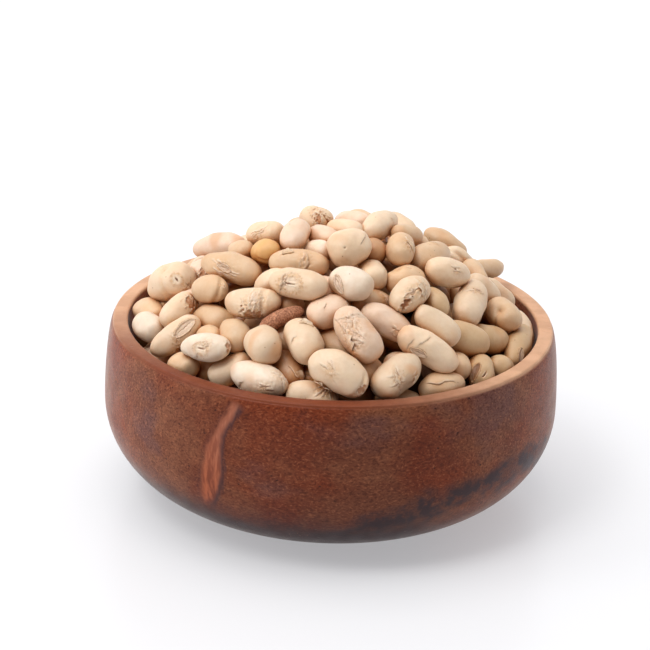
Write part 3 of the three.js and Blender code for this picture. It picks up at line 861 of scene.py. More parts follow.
# Painted shade: skins darken between these depths below the dome.
DEEP_FROM, DEEP_TO = 0.5, 10.0  # below the dome, where skins turn darker
FACING_MARGIN, FACING_SOFTNESS = 0.05, 0.15  # a mark stays on the side of the bean that it faces
END_FROM, END_SPAN = 0.55, 0.45  # shares of the half length over which an end is more toasted
TOAST_WAVE, TOAST_LESS, TOAST_END = 0.55, 0.3, 0.4


def shape_bean(bean, way):
    """The finished surface of a bean in the row's frame, with the masks that its colours need."""
    if bean.marks:
        way = gather_towards(way, [mark.way for mark in bean.marks])
    points = body_points(bean, way)
    size = np.array([bean.half, bean.half_width, bean.half_width]) ** 2
    outward = points / size
    outward /= np.linalg.norm(outward, axis=1)[:, None]
    spot = points + bean.place
    ragged = RAGGED(spot)
    height = np.zeros(len(points))
    masks = np.zeros((4, len(points)))
    for mark in bean.marks:
        away = points - mark.centre
        along, across = away @ mark.along, away @ mark.across
        facing = edge(-(outward @ mark.normal) - FACING_MARGIN, FACING_SOFTNESS)
        made = MARK_SHAPES[mark.kind](mark, along, across, ragged)
        height += made[0] * facing
        masks = np.maximum(masks, np.array(made[1:]) * facing)
    points = points + outward * height[:, None]
    ends = np.clip((np.abs(points[:, 0]) / bean.half - END_FROM) / END_SPAN, 0, 1)
    toast = np.clip(TOAST_WAVE * TONE_WAVES(spot) - TOAST_LESS + TOAST_END * ends, 0, 1)
    placed = points @ bean.frame + bean.middle
    # How far a point lies below the dome, which sets its painted shade.
    below = dome_height(placed[:, 0], placed[:, 1]) - placed[:, 2]
    deep = np.clip((below - DEEP_FROM) / (DEEP_TO - DEEP_FROM), 0, 1)
    return placed, np.concatenate([masks, [toast * bean.toast, deep]])


# ---------------------------------------------------------------- meshes


def add_object(name, data):
    item = bpy.data.objects.new(name, data)
    bpy.context.scene.collection.objects.link(item)
    return item


def make_mesh(name, points, quads):
    """A smooth mesh object from points in millimetres and faces of four corners."""
    mesh = bpy.data.meshes.new(name)
    mesh.vertices.add(len(points))
    mesh.vertices.foreach_set("co", (np.asarray(points) * MM).astype(np.float32).ravel())
    mesh.loops.add(quads.size)
    mesh.loops.foreach_set("vertex_index", quads.astype(np.int32).ravel())
    mesh.polygons.add(len(quads))
    mesh.polygons.foreach_set("loop_start", np.arange(0, quads.size, 4, dtype=np.int32))
    mesh.update(calc_edges=True)
    mesh.polygons.foreach_set("use_smooth", np.full(len(quads), True))
    mesh.validate()
    return add_object(name, mesh)


def add_mask(piece, name, values):
    layer = piece.data.attributes.new(name, "FLOAT", "POINT")
    layer.data.foreach_set("value", np.clip(values, 0, 1).astype(np.float32))


def add_colour(piece, name, colours):
    layer = piece.data.attributes.new(name, "FLOAT_COLOR", "POINT")
    rgba = np.concatenate([colours, np.ones((len(colours), 1))], 1)
    layer.data.foreach_set("color", rgba.astype(np.float32).ravel())


DETAILS = (MARKED_DETAIL, MARKED_BEHIND_DETAIL, PLAIN_DETAIL, LOWER_DETAIL)
TEMPLATES = {detail: cube_sphere(detail) for detail in DETAILS}


def join_parts(name, parts):
    """One mesh of (points, quads, skin colour, masks) parts, with their tones and masks."""
    start = 0
    shifted = []
    for points, quads, skin, masks in parts:
        shifted.append((points, quads + start, np.tile(skin, (len(points), 1)), masks.T))
        start += len(points)
    points, quads, skin, masks = (np.concatenate(column) for column in zip(*shifted))
    piece = make_mesh(name, points, quads)
    add_colour(piece, "skin", skin)
    for mask, values in zip(MASKS, masks.T):
        add_mask(piece, mask, values)
    return piece


def bean_part(bean, marked_detail, plain_detail):
    way, quads = TEMPLATES[marked_detail if bean.marks else plain_detail]
    points, masks = shape_bean(bean, way)
    return points, quads, linear(TONES[bean.tone]) * (1 + bean.shade), masks


FLAP_STEPS = 14
FLAP_THICKNESS = 0.13
FLAP_WIDTHS = (0.34, 0.5)  # shares of its length
FLAP_LIFT = 0.3  # of its width, at the loose edge
FLAP_CLEARANCE = 0.04  # from the bean, at the edge that holds
FLAP_PALENESS, FLAP_TAN = 0.55, 0.5


def flap_part(bean, way, heading, length, rng):
    """A curled scrap of skin that still holds to its bean along one edge."""
    centre, normal = surface_at(bean, way)
    along = unit(heading - normal * (heading @ normal))
    across = np.cross(normal, along)
    run, out = np.meshgrid(np.linspace(-1, 1, FLAP_STEPS), np.linspace(0, 1, FLAP_STEPS))
    run, out = run.ravel(), out.ravel()
    width = length * rng.uniform(*FLAP_WIDTHS)
    ragged = 1 + 0.3 * np.sin(run * rng.uniform(3, 5) + rng.uniform(0, 6))
    reach = width * out * ragged * (1 - 0.55 * run**2)
    narrowed = length / 2 * run * (1 - 0.25 * out)
    plane = centre + narrowed[:, None] * along + reach[:, None] * across
    size = np.array([bean.half, bean.half_width, bean.half_width * bean.flat])
    ways = plane / size
    ways /= np.linalg.norm(ways, axis=1)[:, None]
    points = body_points(bean, ways)
    outward = points / size**2
    outward /= np.linalg.norm(outward, axis=1)[:, None]
    lift = FLAP_CLEARANCE + FLAP_LIFT * width * out**1.6 * (1 - 0.5 * run**2)
    upper = points + outward * (lift + FLAP_THICKNESS)[:, None]
    under = points + outward * lift[:, None]
    grid = np.arange(FLAP_STEPS**2).reshape(FLAP_STEPS, FLAP_STEPS)
    corners = [grid[:-1, :-1], grid[:-1, 1:], grid[1:, 1:], grid[1:, :-1]]
    top = np.stack(corners, -1).reshape(-1, 4)
    border = np.concatenate([grid[0], grid[1:, -1], grid[-1, -2::-1], grid[-2:0:-1, 0]])
    follow = np.roll(border, -1)
    below = FLAP_STEPS**2
    side = np.stack([border, border + below, follow + below, follow], 1)
    quads = np.concatenate([top, top[:, ::-1] + below, side])
    placed = np.concatenate([upper, under]) @ bean.frame + bean.middle
    masks = np.zeros((len(MASKS), len(placed)))
    masks[MASKS.index("pale")] = FLAP_PALENESS * np.tile(out, 2)
    masks[MASKS.index("scar")] = FLAP_TAN
    return placed, quads, linear(TONES[bean.tone]), masks


def turn_profile(name, profile, sides):
    """A closed surface of a [radius, height] profile turned round +Z, from axis to axis."""
    profile = np.asarray(profile, float)
    angle = np.arange(sides) * 2 * math.pi / sides
    inner = profile[1:-1]
    rings = np.stack([
        inner[:, None, 0] * np.cos(angle),
        inner[:, None, 0] * np.sin(angle),
        np.repeat(inner[:, 1:2], sides, 1),
    ], -1).reshape(-1, 3)
    ends = [(0, 0, profile[0, 1]), (0, 0, profile[-1, 1])]
    points = np.concatenate([rings, ends])
    ring = np.arange((len(inner) - 1) * sides).reshape(-1, sides)
    after = np.roll(ring, -1, axis=1)
    quads = np.stack([ring, after, after + sides, ring + sides], -1).reshape(-1, 4)
    faces = [tuple(quad) for quad in quads.tolist()]
    last = (len(inner) - 1) * sides
    for side in range(sides):
        follow = (side + 1) % sides
        faces.append((len(rings), follow, side))
        faces.append((len(rings) + 1, last + side, last + follow))
    mesh = bpy.data.meshes.new(name)
    mesh.from_pydata((points * MM).tolist(), [], faces)
    mesh.polygons.foreach_set("use_smooth", np.full(len(mesh.polygons), True))
    mesh.update()
    return add_object(name, mesh)


# ---------------------------------------------------------------- the bowl


def sweep(start, end, bulge, steps, upright_at_end):
    """A quarter of a superellipse between two [radius, height] points."""
    points = []
    for step in range(1, steps + 1):
        angle = math.pi / 2 * step / steps
        along = math.sin(angle) ** (2 / bulge)
        rest = 1 - max(math.cos(angle), 0) ** (2 / bulge)
        across, upward = (along, rest) if upright_at_end else (rest, along)
        points.append((
            start[0] + (end[0] - start[0]) * across,
            start[1] + (end[1] - start[1]) * upward,
        ))
    return points


def rounded_corner(corner, before, after):
    """An arc of the rim's rounding in place of a corner of the profile."""
    points = []
    for step in range(CURVE_STEPS["rim"] + 1):
        share = step / CURVE_STEPS["rim"]
        first = np.array(before) * (1 - share) + np.array(corner) * share
        second = np.array(corner) * (1 - share) + np.array(after) * share
        points.append(tuple(first * (1 - share) + second * share))
    return points


def bowl_profile():
    """The bowl's [radius, height] points from the middle of its foot over the rim and back to the
    middle of its floor."""
    foot = (FOOT_RADIUS, 0.0)
    belly = (BOWL_RADIUS, BELLY_HEIGHT)
    rim_foot = (RIM_RADIUS, BOWL_HEIGHT - RIM_ROUNDING)
    side = sweep(foot, belly, BELLY_BULGE, CURVE_STEPS["belly"], True)
    outside = [(0.0, 0.0), (FOOT_RADIUS - FOOT_BAND, 0.0), foot, *side]
    neck = sweep(belly, rim_foot, NECK_BULGE, CURVE_STEPS["neck"], False)
    outer = rounded_corner(
        (RIM_RADIUS, BOWL_HEIGHT), rim_foot, (RIM_RADIUS - RIM_ROUNDING, BOWL_HEIGHT)
    )
    inner = rounded_corner(
        (MOUTH_RADIUS, BOWL_HEIGHT),
        (MOUTH_RADIUS + RIM_ROUNDING, BOWL_HEIGHT),
        (MOUTH_RADIUS, BOWL_HEIGHT - RIM_ROUNDING),
    )
    flat = (INNER_FLAT_RADIUS, FLOOR_THICKNESS)
    widest = (HOLLOW_RADIUS, HOLLOW_WIDEST_HEIGHT)
    wall = sweep(flat, widest, HOLLOW_BULGE, CURVE_STEPS["hollow"], True)
    hollow = [(0.0, FLOOR_THICKNESS), flat, *wall]
    return [*outside, *neck, *outer, *inner, *reversed(hollow)]


# ---------------------------------------------------------------- materials

SHUT_SHARE, OPEN_SHARE = 0.15, 0.8  # of the sky above a surface that is shut in, and open


class Shader:
    """A material's node tree, with short calls for the nodes that these materials use."""

    def __init__(self, name):
        self.material = bpy.data.materials.new(name)
        self.material.use_nodes = True
        self.nodes = self.material.node_tree.nodes
        self.links = self.material.node_tree.links
        self.surface = self.nodes["Principled BSDF"]
        self.position = self.node("TexCoord").outputs["Object"]

    def link(self, value, socket):
        if isinstance(value, bpy.types.NodeSocket):
            self.links.new(value, socket)
        elif value is not None:
            socket.default_value = value

    def fill(self, node, inputs):
        """Links or sets a node's inputs by their names."""
        for name, value in inputs.items():
            self.link(value, node.inputs[name.replace("_", " ")])
        return node

    def node(self, kind, **inputs):
        return self.fill(self.nodes.new("ShaderNode" + kind), inputs)

    def layer(self, name, output="Fac"):
        """The values or colours that the mesh holds under that name."""
        node = self.node("Attribute")
        node.attribute_name = name
        return node.outputs[output]

    def maths(self, operation, *values):
        node = self.node("Math")
        node.operation = operation
        for value, socket in zip(values, node.inputs):
            self.link(value, socket)
        return node.outputs[0]

    def times(self, first, second):
        return self.maths("MULTIPLY", first, second)

    def vector(self, operation, first, second):
        node = self.node("VectorMath")
        node.operation = operation
        self.link(first, node.inputs[0])
        self.link(second, node.inputs[1])
        return node.outputs["Value" if operation == "DOT_PRODUCT" else "Vector"]

    def parts(self, vector):
        return self.node("SeparateXYZ", Vector=vector).outputs

    def stretch(self, scale, shift=(0, 0, 0), turn=(0, 0, 0)):
        inputs = {"Scale": scale, "Location": shift, "Rotation": turn}
        return self.node("Mapping", Vector=self.position, **inputs).outputs[0]

    def cloud(self, size_mm, vector, **inputs):
        """A node of noise of that size, over the position unless another vector is given."""
        scale = 1 / (size_mm * MM)
        return self.node("TexNoise", Vector=vector or self.position, Scale=scale, **inputs)

    def noise(self, size_mm, detail=2.0, vector=None, distortion=0.0, roughness=0.5):
        inputs = {"Detail": detail, "Roughness": roughness, "Distortion": distortion}
        return self.cloud(size_mm, vector, **inputs).outputs["Fac"]

    def warped(self, size_mm, reach_mm, vector=None):
        """The position, pushed about by noise of that size."""
        push = self.cloud(size_mm, vector).outputs["Color"]
        centred = self.vector("SUBTRACT", push, (0.5, 0.5, 0.5))
        pushed = self.vector("MULTIPLY", centred, (2 * reach_mm * MM,) * 3)
        return self.vector("ADD", vector or self.position, pushed)

    def cells(self, size_mm, feature="F1", vector=None):
        scale = 1 / (size_mm * MM)
        node = self.node("TexVoronoi", Vector=vector or self.position, Scale=scale)
        node.feature = feature
        return node.outputs["Distance"]

    def ramp(self, value, low, high, start=0.0, end=1.0):
        """The value from low to high mapped to start to end, smoothly and held outside."""
        inputs = {"From_Min": low, "From_Max": high, "To_Min": start, "To_Max": end}
        node = self.node("MapRange", Value=value, **inputs)
        node.interpolation_type = "SMOOTHSTEP"
        return node.outputs[0]

    def blend(self, share, first, second, mode="MIX"):
        node = self.node("Mix")
        node.data_type = "RGBA"
        node.blend_type = mode
        self.link(share, node.inputs["Factor"])
        for value, socket in ((first, node.inputs["A"]), (second, node.inputs["B"])):
            self.link(value if isinstance(value, bpy.types.NodeSocket) else (*value, 1.0), socket)
        return node.outputs["Result"]

    def tinted(self, colour, by):
        return self.blend(1.0, colour, by, "MULTIPLY")

    def shut_in(self, reach_mm):
        """0 where a surface lies open and 1 where others within that reach shut it in."""
        node = self.node("AmbientOcclusion", Distance=reach_mm * MM)
        node.samples = 4
        return self.ramp(node.outputs["AO"], SHUT_SHARE, OPEN_SHARE, 1.0, 0.0)

    def relief(self, height, depth_mm, under=None, inverted=False):
        node = self.node("Bump", Distance=depth_mm * MM, Height=height, Normal=under)
        node.invert = inverted
        return node.outputs[0]

    def finish(self, **inputs):
        self.fill(self.surface, inputs)
        return self.material


def bean_material():
    """Dry roasted skin: mottled cream, with painted shade where it lies deep or where others shut
    it in, browned in its scars and cracks, with specks and a fine grain."""
    s = Shader("roasted_skin")
    skin = s.layer("skin", "Color")
    mottle = s.ramp(s.noise(4.5, 3), 0.35, 0.7)
    warm = s.blend(s.times(mottle, 0.5), skin, s.tinted(skin, MOTTLE_TINT))
    fine = s.ramp(s.noise(0.9, 4, roughness=0.65), 0.35, 0.7)
    grain = s.blend(s.times(fine, 0.4), warm, s.tinted(warm, GRAIN_TINT))
    toasted = s.blend(s.times(s.layer("toast"), 0.6), grain, tint("toast"))
    # Painted shade, darker the deeper the skin lies below the dome.
    deep = s.layer("deep")
    depth_shaded = s.blend(s.ramp(deep, 0.0, 0.5), toasted, s.tinted(toasted, DEEP_SHADE_TINT))
    shaded = s.blend(s.ramp(deep, 0.35, 0.9), depth_shaded, s.tinted(depth_shaded, DEEPEST_SHADE_TINT))
    # Painted shade where other beans shut the skin in.
    closed = s.blend(s.shut_in(3.0), shaded, s.tinted(shaded, CONTACT_SHADE_TINT))

    scar = s.layer("scar")
    patchy = s.times(scar, s.ramp(s.noise(0.8, 3), 0.3, 0.65, 0.2, 0.8))
    tanned = s.blend(patchy, closed, tint("scar"))
    crumb = s.noise(0.42, 3, roughness=0.6)
    in_patch = s.ramp(scar, 0.15, 0.5)
    pale_crumbs = s.times(in_patch, s.ramp(crumb, 0.54, 0.7, 0.0, 0.35))
    brown_crumbs = s.times(in_patch, s.ramp(crumb, 0.32, 0.45, 0.4, 0.0))
    flaked = s.blend(pale_crumbs, tanned, tint("dry skin"))
    scarred = s.blend(brown_crumbs, flaked, tint("crack"))
    dried = s.blend(s.times(s.layer("pale"), 0.8), scarred, tint("dry skin"))
    bare = s.ramp(s.noise(0.6, 3), 0.25, 0.7, 0.55, 1.0)
    torn = s.blend(s.times(s.layer("torn"), bare), dried, tint("torn"))

    crazing = s.cells(1.1, "DISTANCE_TO_EDGE", s.warped(0.9, 0.35))
    hairline = s.times(s.ramp(crazing, 0.0, 0.07, 1.0, 0.0), s.ramp(scar, 0.2, 0.6))
    crack = s.maths("MAXIMUM", s.layer("crack"), s.times(hairline, 0.4))
    cracked = s.blend(s.ramp(crack, 0.15, 0.85, 0, 0.8), torn, tint("crack"))
    darkest = s.blend(s.ramp(crack, 0.8, 1.0, 0, 0.85), cracked, tint("deep crack"))
    specks = s.ramp(s.cells(3.1), 0.035, 0.06, 0.6, 0.0)
    colour = s.blend(specks, darkest, tint("crack"))

    pores = s.relief(s.noise(0.35, 3), 0.02)
    wrinkled = s.relief(s.noise(1.6, 3), 0.10, pores)
    crumbly = s.relief(s.times(crumb, in_patch), 0.08, wrinkled)
    crazed = s.relief(hairline, 0.05, crumbly, inverted=True)
    rough = s.ramp(s.noise(2.2, 2), 0.3, 0.7, 0.4, 0.56)
    s.finish(Subsurface_Weight=0.1, Subsurface_Radius=(1.0, 0.6, 0.35), Subsurface_Scale=MM)
    return s.finish(Base_Color=colour, Roughness=rough, Specular_IOR_Level=0.5, Normal=crazed)


def fragment_material():
    """A piece of dark husk: granular reddish-brown, rough and dull."""
    s = Shader("dark_husk")
    grain = s.noise(0.35, 3, roughness=0.65)
    colour = s.blend(s.ramp(grain, 0.36, 0.62), tint("husk dark"), tint("husk light"))
    patches = s.blend(s.ramp(s.noise(2.2, 2), 0.4, 0.65, 0.0, 0.5), colour, tint("husk patch"))
    return s.finish(Base_Color=patches, Roughness=0.8, Normal=s.relief(grain, 0.22))


def core_material():
    """The shade between the beans, deep in the heap."""
    s = Shader("deep_shade")
    colour = s.blend(s.ramp(s.noise(5, 2), 0.4, 0.6), CORE_DARK, CORE_LIGHT)
    uneven = s.relief(s.noise(3, 2), 0.5)
    return s.finish(Base_Color=colour, Roughness=0.9, Specular_IOR_Level=0.1, Normal=uneven)


# Places on the outside of the bowl, as the photograph shows them (pixels right and down).
STREAK_TOP = (237, 403)
STREAK_FOOT = (207, 505)
STREAK_BOW = 1.5  # how far it leans to the left between them
STREAK_HALF_WIDTH = 1.0  # at its top
STREAK_SWELL = 1.5  # more than that at its widest
STRAND_REACH = 1.1  # how far its edge wavers with its strands
HALO_WIDTH = 1.4
LAYER_PLACES = ((525, 462), (455, 496), (385, 524))
LAYER_HALF_WIDTH = 2.5
LAYER_WAVER = 4.0
SIGHT_STEP = 0.05


def outside_radius(height):
    profile = np.array(bowl_profile())
    widest = profile[:, 0].argmax()
    outer = profile[: widest + 1] if height < BELLY_HEIGHT else profile[widest:]
    outer = outer[outer[:, 1] <= BOWL_HEIGHT]
    order = outer[:, 1].argsort()
    return np.interp(height, outer[order, 1], outer[order, 0])


def on_bowl(view, u, v):
    """The point of the bowl's outside that shows at a pixel."""
    ray = ray_through(view, u, v)
    point = view.eye.copy()
    distance = VIEW["distance"] - 2 * BOWL_RADIUS
    while distance < VIEW["distance"] + BOWL_RADIUS:
        point = view.eye + ray * distance
        inside = np.hypot(point[0], point[1]) < outside_radius(point[2])
        if 0 <= point[2] <= BOWL_HEIGHT and inside:
            return point
        distance += SIGHT_STEP
    return point


def wood_ground(s):
    """The wood's brown, with zones, long bands and curly fibres, and the fibres' own height."""
    long_grain = s.stretch((0.16, 1.0, 1.0), turn=(0, 0.12, 0))
    zones = s.ramp(s.noise(20, 3, distortion=0.6), 0.38, 0.62)
    bands = s.ramp(s.noise(5, 4, vector=long_grain, distortion=0.6), 0.38, 0.66)
    ground = s.blend(zones, tint("wood red"), tint("wood brown"))
    banded = s.blend(s.times(bands, 0.5), ground, tint("wood band"))
    bruises = s.noise(13, 3, vector=s.stretch((0.5, 1, 1), (0.03, 0, 0)))
    dulled = s.blend(s.ramp(bruises, 0.53, 0.68, 0, 0.55), banded, tint("wood bruise"))
    curled = s.warped(1.6, 0.7, s.stretch((0.6, 1.0, 1.0), turn=(0, 0.2, 0)))
    fibre = s.noise(0.42, 4, vector=curled, roughness=0.62)
    darkened = s.blend(s.ramp(fibre, 0.37, 0.5, 0.62, 0.0), dulled, tint("fibre dark"))
    return s.blend(s.ramp(fibre, 0.53, 0.68, 0.0, 0.5), darkened, tint("fibre light")), fibre


def dark_layer_and_foot_shade(s, view, under):
    """A blotchy slanting dark layer of the wood, low on the right, and painted shade that darkens
    the foot, less towards the right.
    """
    places = [on_bowl(view, *place) for place in LAYER_PLACES]
    normal = unit(np.cross(places[1] - places[0], places[2] - places[0]))
    from_middle = s.vector("SUBTRACT", s.warped(6, 2.2), tuple(places[1] * MM))
    away = s.maths("ABSOLUTE", s.vector("DOT_PRODUCT", from_middle, tuple(normal)))
    ragged = s.times(s.noise(2.6, 4, vector=s.stretch((0.5, 1.0, 1.0))), LAYER_WAVER * MM)
    half_width = (LAYER_HALF_WIDTH + LAYER_WAVER / 2) * MM
    beyond = s.maths("SUBTRACT", s.maths("ADD", away, ragged), half_width)
    x, _, z = s.parts(s.position)
    blotches = s.ramp(s.noise(3.4, 3, roughness=0.6), 0.36, 0.58, 0.4, 0.95)
    fading = s.times(s.ramp(beyond, -1.7 * MM, 1.3 * MM, 1.0, 0.0), blotches)
    band = s.times(fading, s.ramp(x, -22 * MM, 8 * MM))
    # Painted shade at the foot, where the bowl meets the floor, less towards the right.
    low = s.maths("ADD", z, s.times(s.noise(5, 3), 5 * MM))
    foot_shade = s.ramp(low, 10.0 * MM, 19.0 * MM, 0.95, 0.0)
    foot = s.times(foot_shade, s.ramp(x, 15 * MM, 30 * MM, 1.0, 0.25))
    return s.blend(foot, s.blend(band, under, tint("dark layer")), tint("foot"))


def knot_streak(s, view, under):
    """A bowed orange-brown streak with strands in it and a ragged dark outline."""
    top, foot = on_bowl(view, *STREAK_TOP), on_bowl(view, *STREAK_FOOT)
    run = foot - top
    middle = (top + foot) / 2
    leftward = unit(np.cross(run, (middle[0], middle[1], 0.0)))
    away = s.vector("SUBTRACT", s.warped(3.2, 0.7), tuple(top * MM))
    down = s.vector("DOT_PRODUCT", away, tuple(run / (run @ run) / MM))
    bow = s.times(s.ramp(down, 0.0, 0.34), s.ramp(down, 0.36, 0.75, 1.0, 0.0))
    straight = s.vector("DOT_PRODUCT", away, tuple(leftward))
    aside = s.maths("MULTIPLY_ADD", bow, -STREAK_BOW * MM, straight)
    swell = s.maths("SUBTRACT", s.ramp(down, 0.26, 0.62), s.ramp(down, 0.7, 1.05, 0.0, 1.0))
    half_width = s.maths("MULTIPLY_ADD", swell, STREAK_SWELL * MM, STREAK_HALF_WIDTH * MM)
    beyond = s.maths("SUBTRACT", s.maths("ABSOLUTE", aside), half_width)
    strands = s.noise(0.9, 3, vector=s.stretch((1.0, 1.0, 0.2), turn=(0, -0.3, 0)))
    waver = s.maths("MULTIPLY_ADD", strands, 2 * STRAND_REACH * MM, -STRAND_REACH * MM)
    border = s.maths("ADD", beyond, waver)

    ends = s.times(s.ramp(down, -0.02, 0.05), s.ramp(down, 0.88, 1.04, 1.0, 0.0))
    _, y, _ = s.parts(s.position)
    near_side = s.times(ends, s.ramp(y, -10 * MM, 0.0, 1.0, 0.0))
    flame = s.times(s.ramp(border, -1.1 * MM, 0.6 * MM, 0.85, 0.0), near_side)
    halo = s.times(s.ramp(border, 0.0, HALO_WIDTH * MM, 1.0, 0.0), near_side)
    on_right = s.ramp(aside, -0.3 * MM, 0.8 * MM, 0.95, 0.25)
    haloed = s.blend(s.times(halo, on_right), under, tint("halo"))
    lower = s.ramp(down, 0.1, 0.9)
    light = s.blend(lower, tint("streak light top"), tint("streak light foot"))
    dark = s.blend(lower, tint("streak dark top"), tint("streak dark foot"))
    return s.blend(flame, haloed, s.blend(s.ramp(strands, 0.35, 0.65), dark, light))


def rim_colour(s, x, y):
    """The rim's grained wood, paled at the back and at the right by a painted reflection."""
    along = s.maths("ADD", s.times(y, 0.9), s.times(x, 0.35))
    # Painted reflection: the rim pales from the front towards the back and right.
    base = s.blend(s.ramp(along, -43 * MM, -8 * MM), tint("rim near"), tint("rim far reflection"))
    grain = s.ramp(s.noise(0.9, 3, vector=s.stretch((0.25, 0.25, 1.0))), 0.35, 0.65, 0.0, 0.35)
    return s.blend(grain, base, s.tinted(base, RIM_GRAIN_TINT))


def wood_material(view):
    """Oiled reddish-brown wood: mottled grain and pores, a knot streak, a dark lower layer,
    painted shade at the foot, a painted sheen that pales the sides towards the left and right, and
    a painted reflection that pales the rim."""
    s = Shader("oiled_wood")
    x, y, z = s.parts(s.position)
    ground, fibre = wood_ground(s)
    streaked = knot_streak(s, view, dark_layer_and_foot_shade(s, view, ground))
    pores = s.ramp(s.cells(2.6, vector=s.stretch((0.6, 1.0, 1.0))), 0.04, 0.1, 0.8, 0.0)
    pored = s.blend(pores, streaked, tint("pore"))
    uneven_height = s.maths("ADD", z, s.times(s.noise(8, 2), 10 * MM))
    fleck_share = s.ramp(uneven_height, 10 * MM, 20 * MM, 0.9, 0.12)
    flecks = s.times(s.ramp(s.cells(1.5), 0.05, 0.1, 0.6, 0.0), fleck_share)
    flecked = s.blend(flecks, pored, tint("fleck"))
    # Painted sheen: the wood pales towards the left and right.
    aside = s.ramp(s.maths("ABSOLUTE", x), 26 * MM, 49 * MM)
    paler = s.blend(aside, flecked, s.tinted(flecked, SIDE_SHEEN_GAIN))
    on_rim = s.ramp(z, (BOWL_HEIGHT - 1.0) * MM, (BOWL_HEIGHT - 0.3) * MM)
    colour = s.blend(s.times(on_rim, 0.85), paler, rim_colour(s, x, y))

    pitted = s.relief(pores, 0.05, s.relief(fibre, 0.035), inverted=True)
    rough = s.ramp(s.noise(3, 3), 0.3, 0.7, 0.36, 0.46)
    s.finish(Sheen_Weight=0.35, Sheen_Roughness=0.25, Sheen_Tint=(1.0, 0.9, 0.85, 1.0))
    return s.finish(Base_Color=colour, Roughness=rough, Specular_IOR_Level=0.13, Normal=pitted)


# ---------------------------------------------------------------- pieces

CORE_DROP = 9.5  # of the dark core below the top layer of beans
CORE_RADIUS = 40.0
CORE_FOOT_RADIUS = 36.0
CORE_DEPTH = 24  # of its foot below the bowl's top
CORE_RINGS = 12
CORE_SIDES = 64


def dress(piece, material, replaced):
    piece.data.materials.append(material)
    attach(piece, "root")
    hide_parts(replaced)


def make_bowl(view):
    piece = turn_profile("turned_bowl", bowl_profile(), BOWL_SIDES)
    dress(piece, wood_material(view), "bowl")


# The heap's core, a dark surface of painted shade below the beans.
def make_core():
    crown = []
    for ring in range(CORE_RINGS + 1):
        radius = CORE_RADIUS * (1 - ring / CORE_RINGS)
        crown.append((radius, dome_height(radius, 0) - CORE_DROP))
    low = BOWL_HEIGHT - CORE_DEPTH
    profile = [(0.0, low), (CORE_FOOT_RADIUS, low), *crown]
    dress(turn_profile("heap_core", profile, CORE_SIDES), core_material(), "heap")


def kind_of(bean):
    """Which of the joined pieces a bean belongs to."""
    kinds = {mark.kind for mark in bean.marks}
    if bean.tone == "brown":
        return "brown_fragment"
    if bean.ray is None:
        return "beans_behind"
    if kinds & {"ring", "socket", "slit", "hilum"}:
        return "scarred_beans"
    if "crack" in kinds:
        return "cracked_beans"
    if "folds" in kinds:
        return "wrinkled_beans"
    if kinds:
        return "dented_beans"
    return "smooth_beans"


def make_beans(view):
    top, lower = lay_beans(view)
    rng = np.random.default_rng(SEED + 1)
    for index, bean in enumerate(top + lower):
        give_character(bean, rng, index)
    place_marks(view, top)
    for bean in top:
        if bean.ray is None:
            random_marks(bean, rng)
    material = bean_material()
    groups = {"beans_below": lower}
    for bean in top:
        groups.setdefault(kind_of(bean), []).append(bean)
    for name, beans in groups.items():
        marked = MARKED_BEHIND_DETAIL if name == "beans_behind" else MARKED_DETAIL
        plain = LOWER_DETAIL if name == "beans_below" else PLAIN_DETAIL
        piece = join_parts(name, [bean_part(bean, marked, plain) for bean in beans])
        skin = fragment_material() if name == "brown_fragment" else material
        dress(piece, skin, "heap")
    flaps = []
    for u, v, length, turn in FLAPS:
        bean, way = first_bean(view, top, u, v)
        if bean:
            heading = bean.frame @ in_image(view, turn)
            flaps.append(flap_part(bean, way, heading, length / PIXELS_PER_MM, rng))
    dress(join_parts("loose_skins", flaps), material, "heap")


# ---------------------------------------------------------------- stage, light and camera

FRONT_GLOW = 0.36  # the floor's own light, near the camera and behind the bowl
BACK_GLOW = 0.46
GLOW_FROM, GLOW_TO = -0.25, 0.35  # metres towards the back
FLOOR_REACH = 3.0  # metres
FLOOR_DROP = 0.0001  # metres below the bowl's foot
FLOOR_CORNERS = ((-1, -1), (1, -1), (1, 1), (-1, 1))

FRONT_BRIGHTNESS = 0.12  # of the dark side of the studio, behind the camera
BACK_BRIGHTNESS = 0.85
FADE_FROM, FADE_TO = -0.75, 0.2
# Soft boxes: place and aim (mm), width and height (mm), and the radiance of the face.
SOFT_BOXES = {
    "overhead": ((-250, -50, 1500), (0, 0, 0), (1300, 1300), 2.15),
    "left": ((-900, -200, 480), (0, 0, 30), (350, 500), 4.2),
    "key": ((-450, -420, 950), (0, 0, 40), (380, 380), 8.0),
}


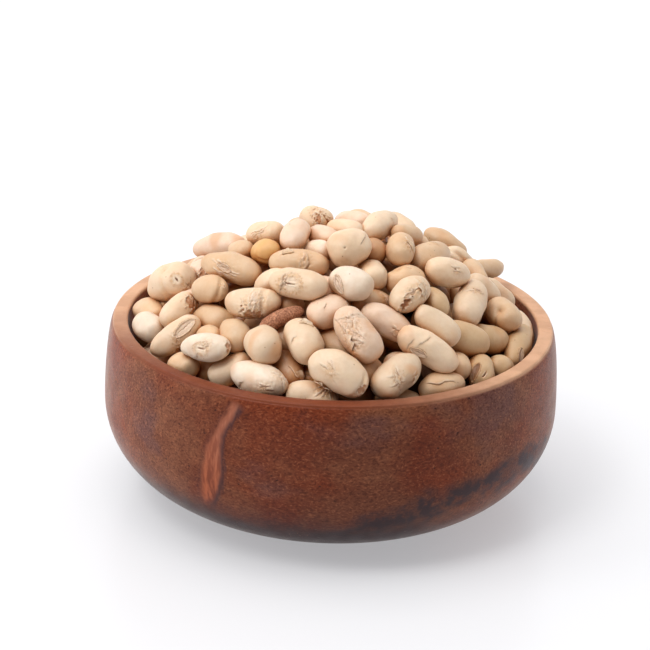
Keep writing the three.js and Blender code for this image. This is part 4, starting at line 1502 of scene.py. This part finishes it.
def make_floor():
    """A lit white table: its own faint light keeps the shadows on it pale."""
    mesh = bpy.data.meshes.new("floor")
    corners = [(x * FLOOR_REACH, y * FLOOR_REACH, -FLOOR_DROP) for x, y in FLOOR_CORNERS]
    mesh.from_pydata(corners, [], [(0, 1, 2, 3)])
    floor = add_object("floor", mesh)
    s = Shader("pale_floor")
    _, y, _ = s.parts(s.position)
    s.finish(Base_Color=(0.5, 0.5, 0.505, 1), Roughness=0.28, Specular_IOR_Level=0.3)
    glow = s.ramp(y, GLOW_FROM, GLOW_TO, FRONT_GLOW, BACK_GLOW)
    s.finish(Emission_Color=(0.98, 0.97, 1.0, 1), Emission_Strength=glow)
    mesh.materials.append(s.material)


def add_soft_box(name, place_mm, aim_mm, size_mm, radiance):
    light = bpy.data.lights.new(name, "AREA")
    light.shape = "RECTANGLE"
    light.size, light.size_y = size_mm[0] * MM, size_mm[1] * MM
    light.energy = radiance * math.pi * light.size * light.size_y
    lamp = add_object(name, light)
    lamp.location = Vector(place_mm) * MM
    way = Vector(aim_mm) - Vector(place_mm)
    lamp.rotation_euler = way.to_track_quat("-Z", "Y").to_euler()


def light_scene():
    """A white studio, dark on the camera's side, with its soft boxes."""
    world = bpy.data.worlds.new("studio")
    bpy.context.scene.world = world
    world.use_nodes = True
    nodes, links = world.node_tree.nodes, world.node_tree.links
    way = nodes.new("ShaderNodeSeparateXYZ")
    links.new(nodes.new("ShaderNodeTexCoord").outputs["Generated"], way.inputs[0])
    fade = nodes.new("ShaderNodeMapRange")
    fade.interpolation_type = "SMOOTHSTEP"
    links.new(way.outputs["Y"], fade.inputs["Value"])
    fade.inputs["From Min"].default_value = FADE_FROM
    fade.inputs["From Max"].default_value = FADE_TO
    fade.inputs["To Min"].default_value = FRONT_BRIGHTNESS
    fade.inputs["To Max"].default_value = BACK_BRIGHTNESS
    background = nodes["Background"]
    background.inputs["Color"].default_value = (0.97, 0.98, 1.0, 1)
    links.new(fade.outputs[0], background.inputs["Strength"])
    for name, row in SOFT_BOXES.items():
        add_soft_box(name, *row)
    bpy.context.scene.view_settings.view_transform = "Standard"


def add_camera(view):
    data = bpy.data.cameras.new("camera")
    data.sensor_width = SENSOR_WIDTH
    data.sensor_fit = "HORIZONTAL"
    data.lens = VIEW["focal_pixels"] / FRAME_PIXELS * SENSOR_WIDTH
    camera = add_object("camera", data)
    turned = Matrix([view.right, view.up, -view.forward]).transposed().to_4x4()
    camera.matrix_world = Matrix.Translation(Vector(view.eye * MM)) @ turned
    bpy.context.scene.camera = camera


view = viewpoint()
add_camera(view)
make_floor()
light_scene()
make_bowl(view)
make_core()
make_beans(view)
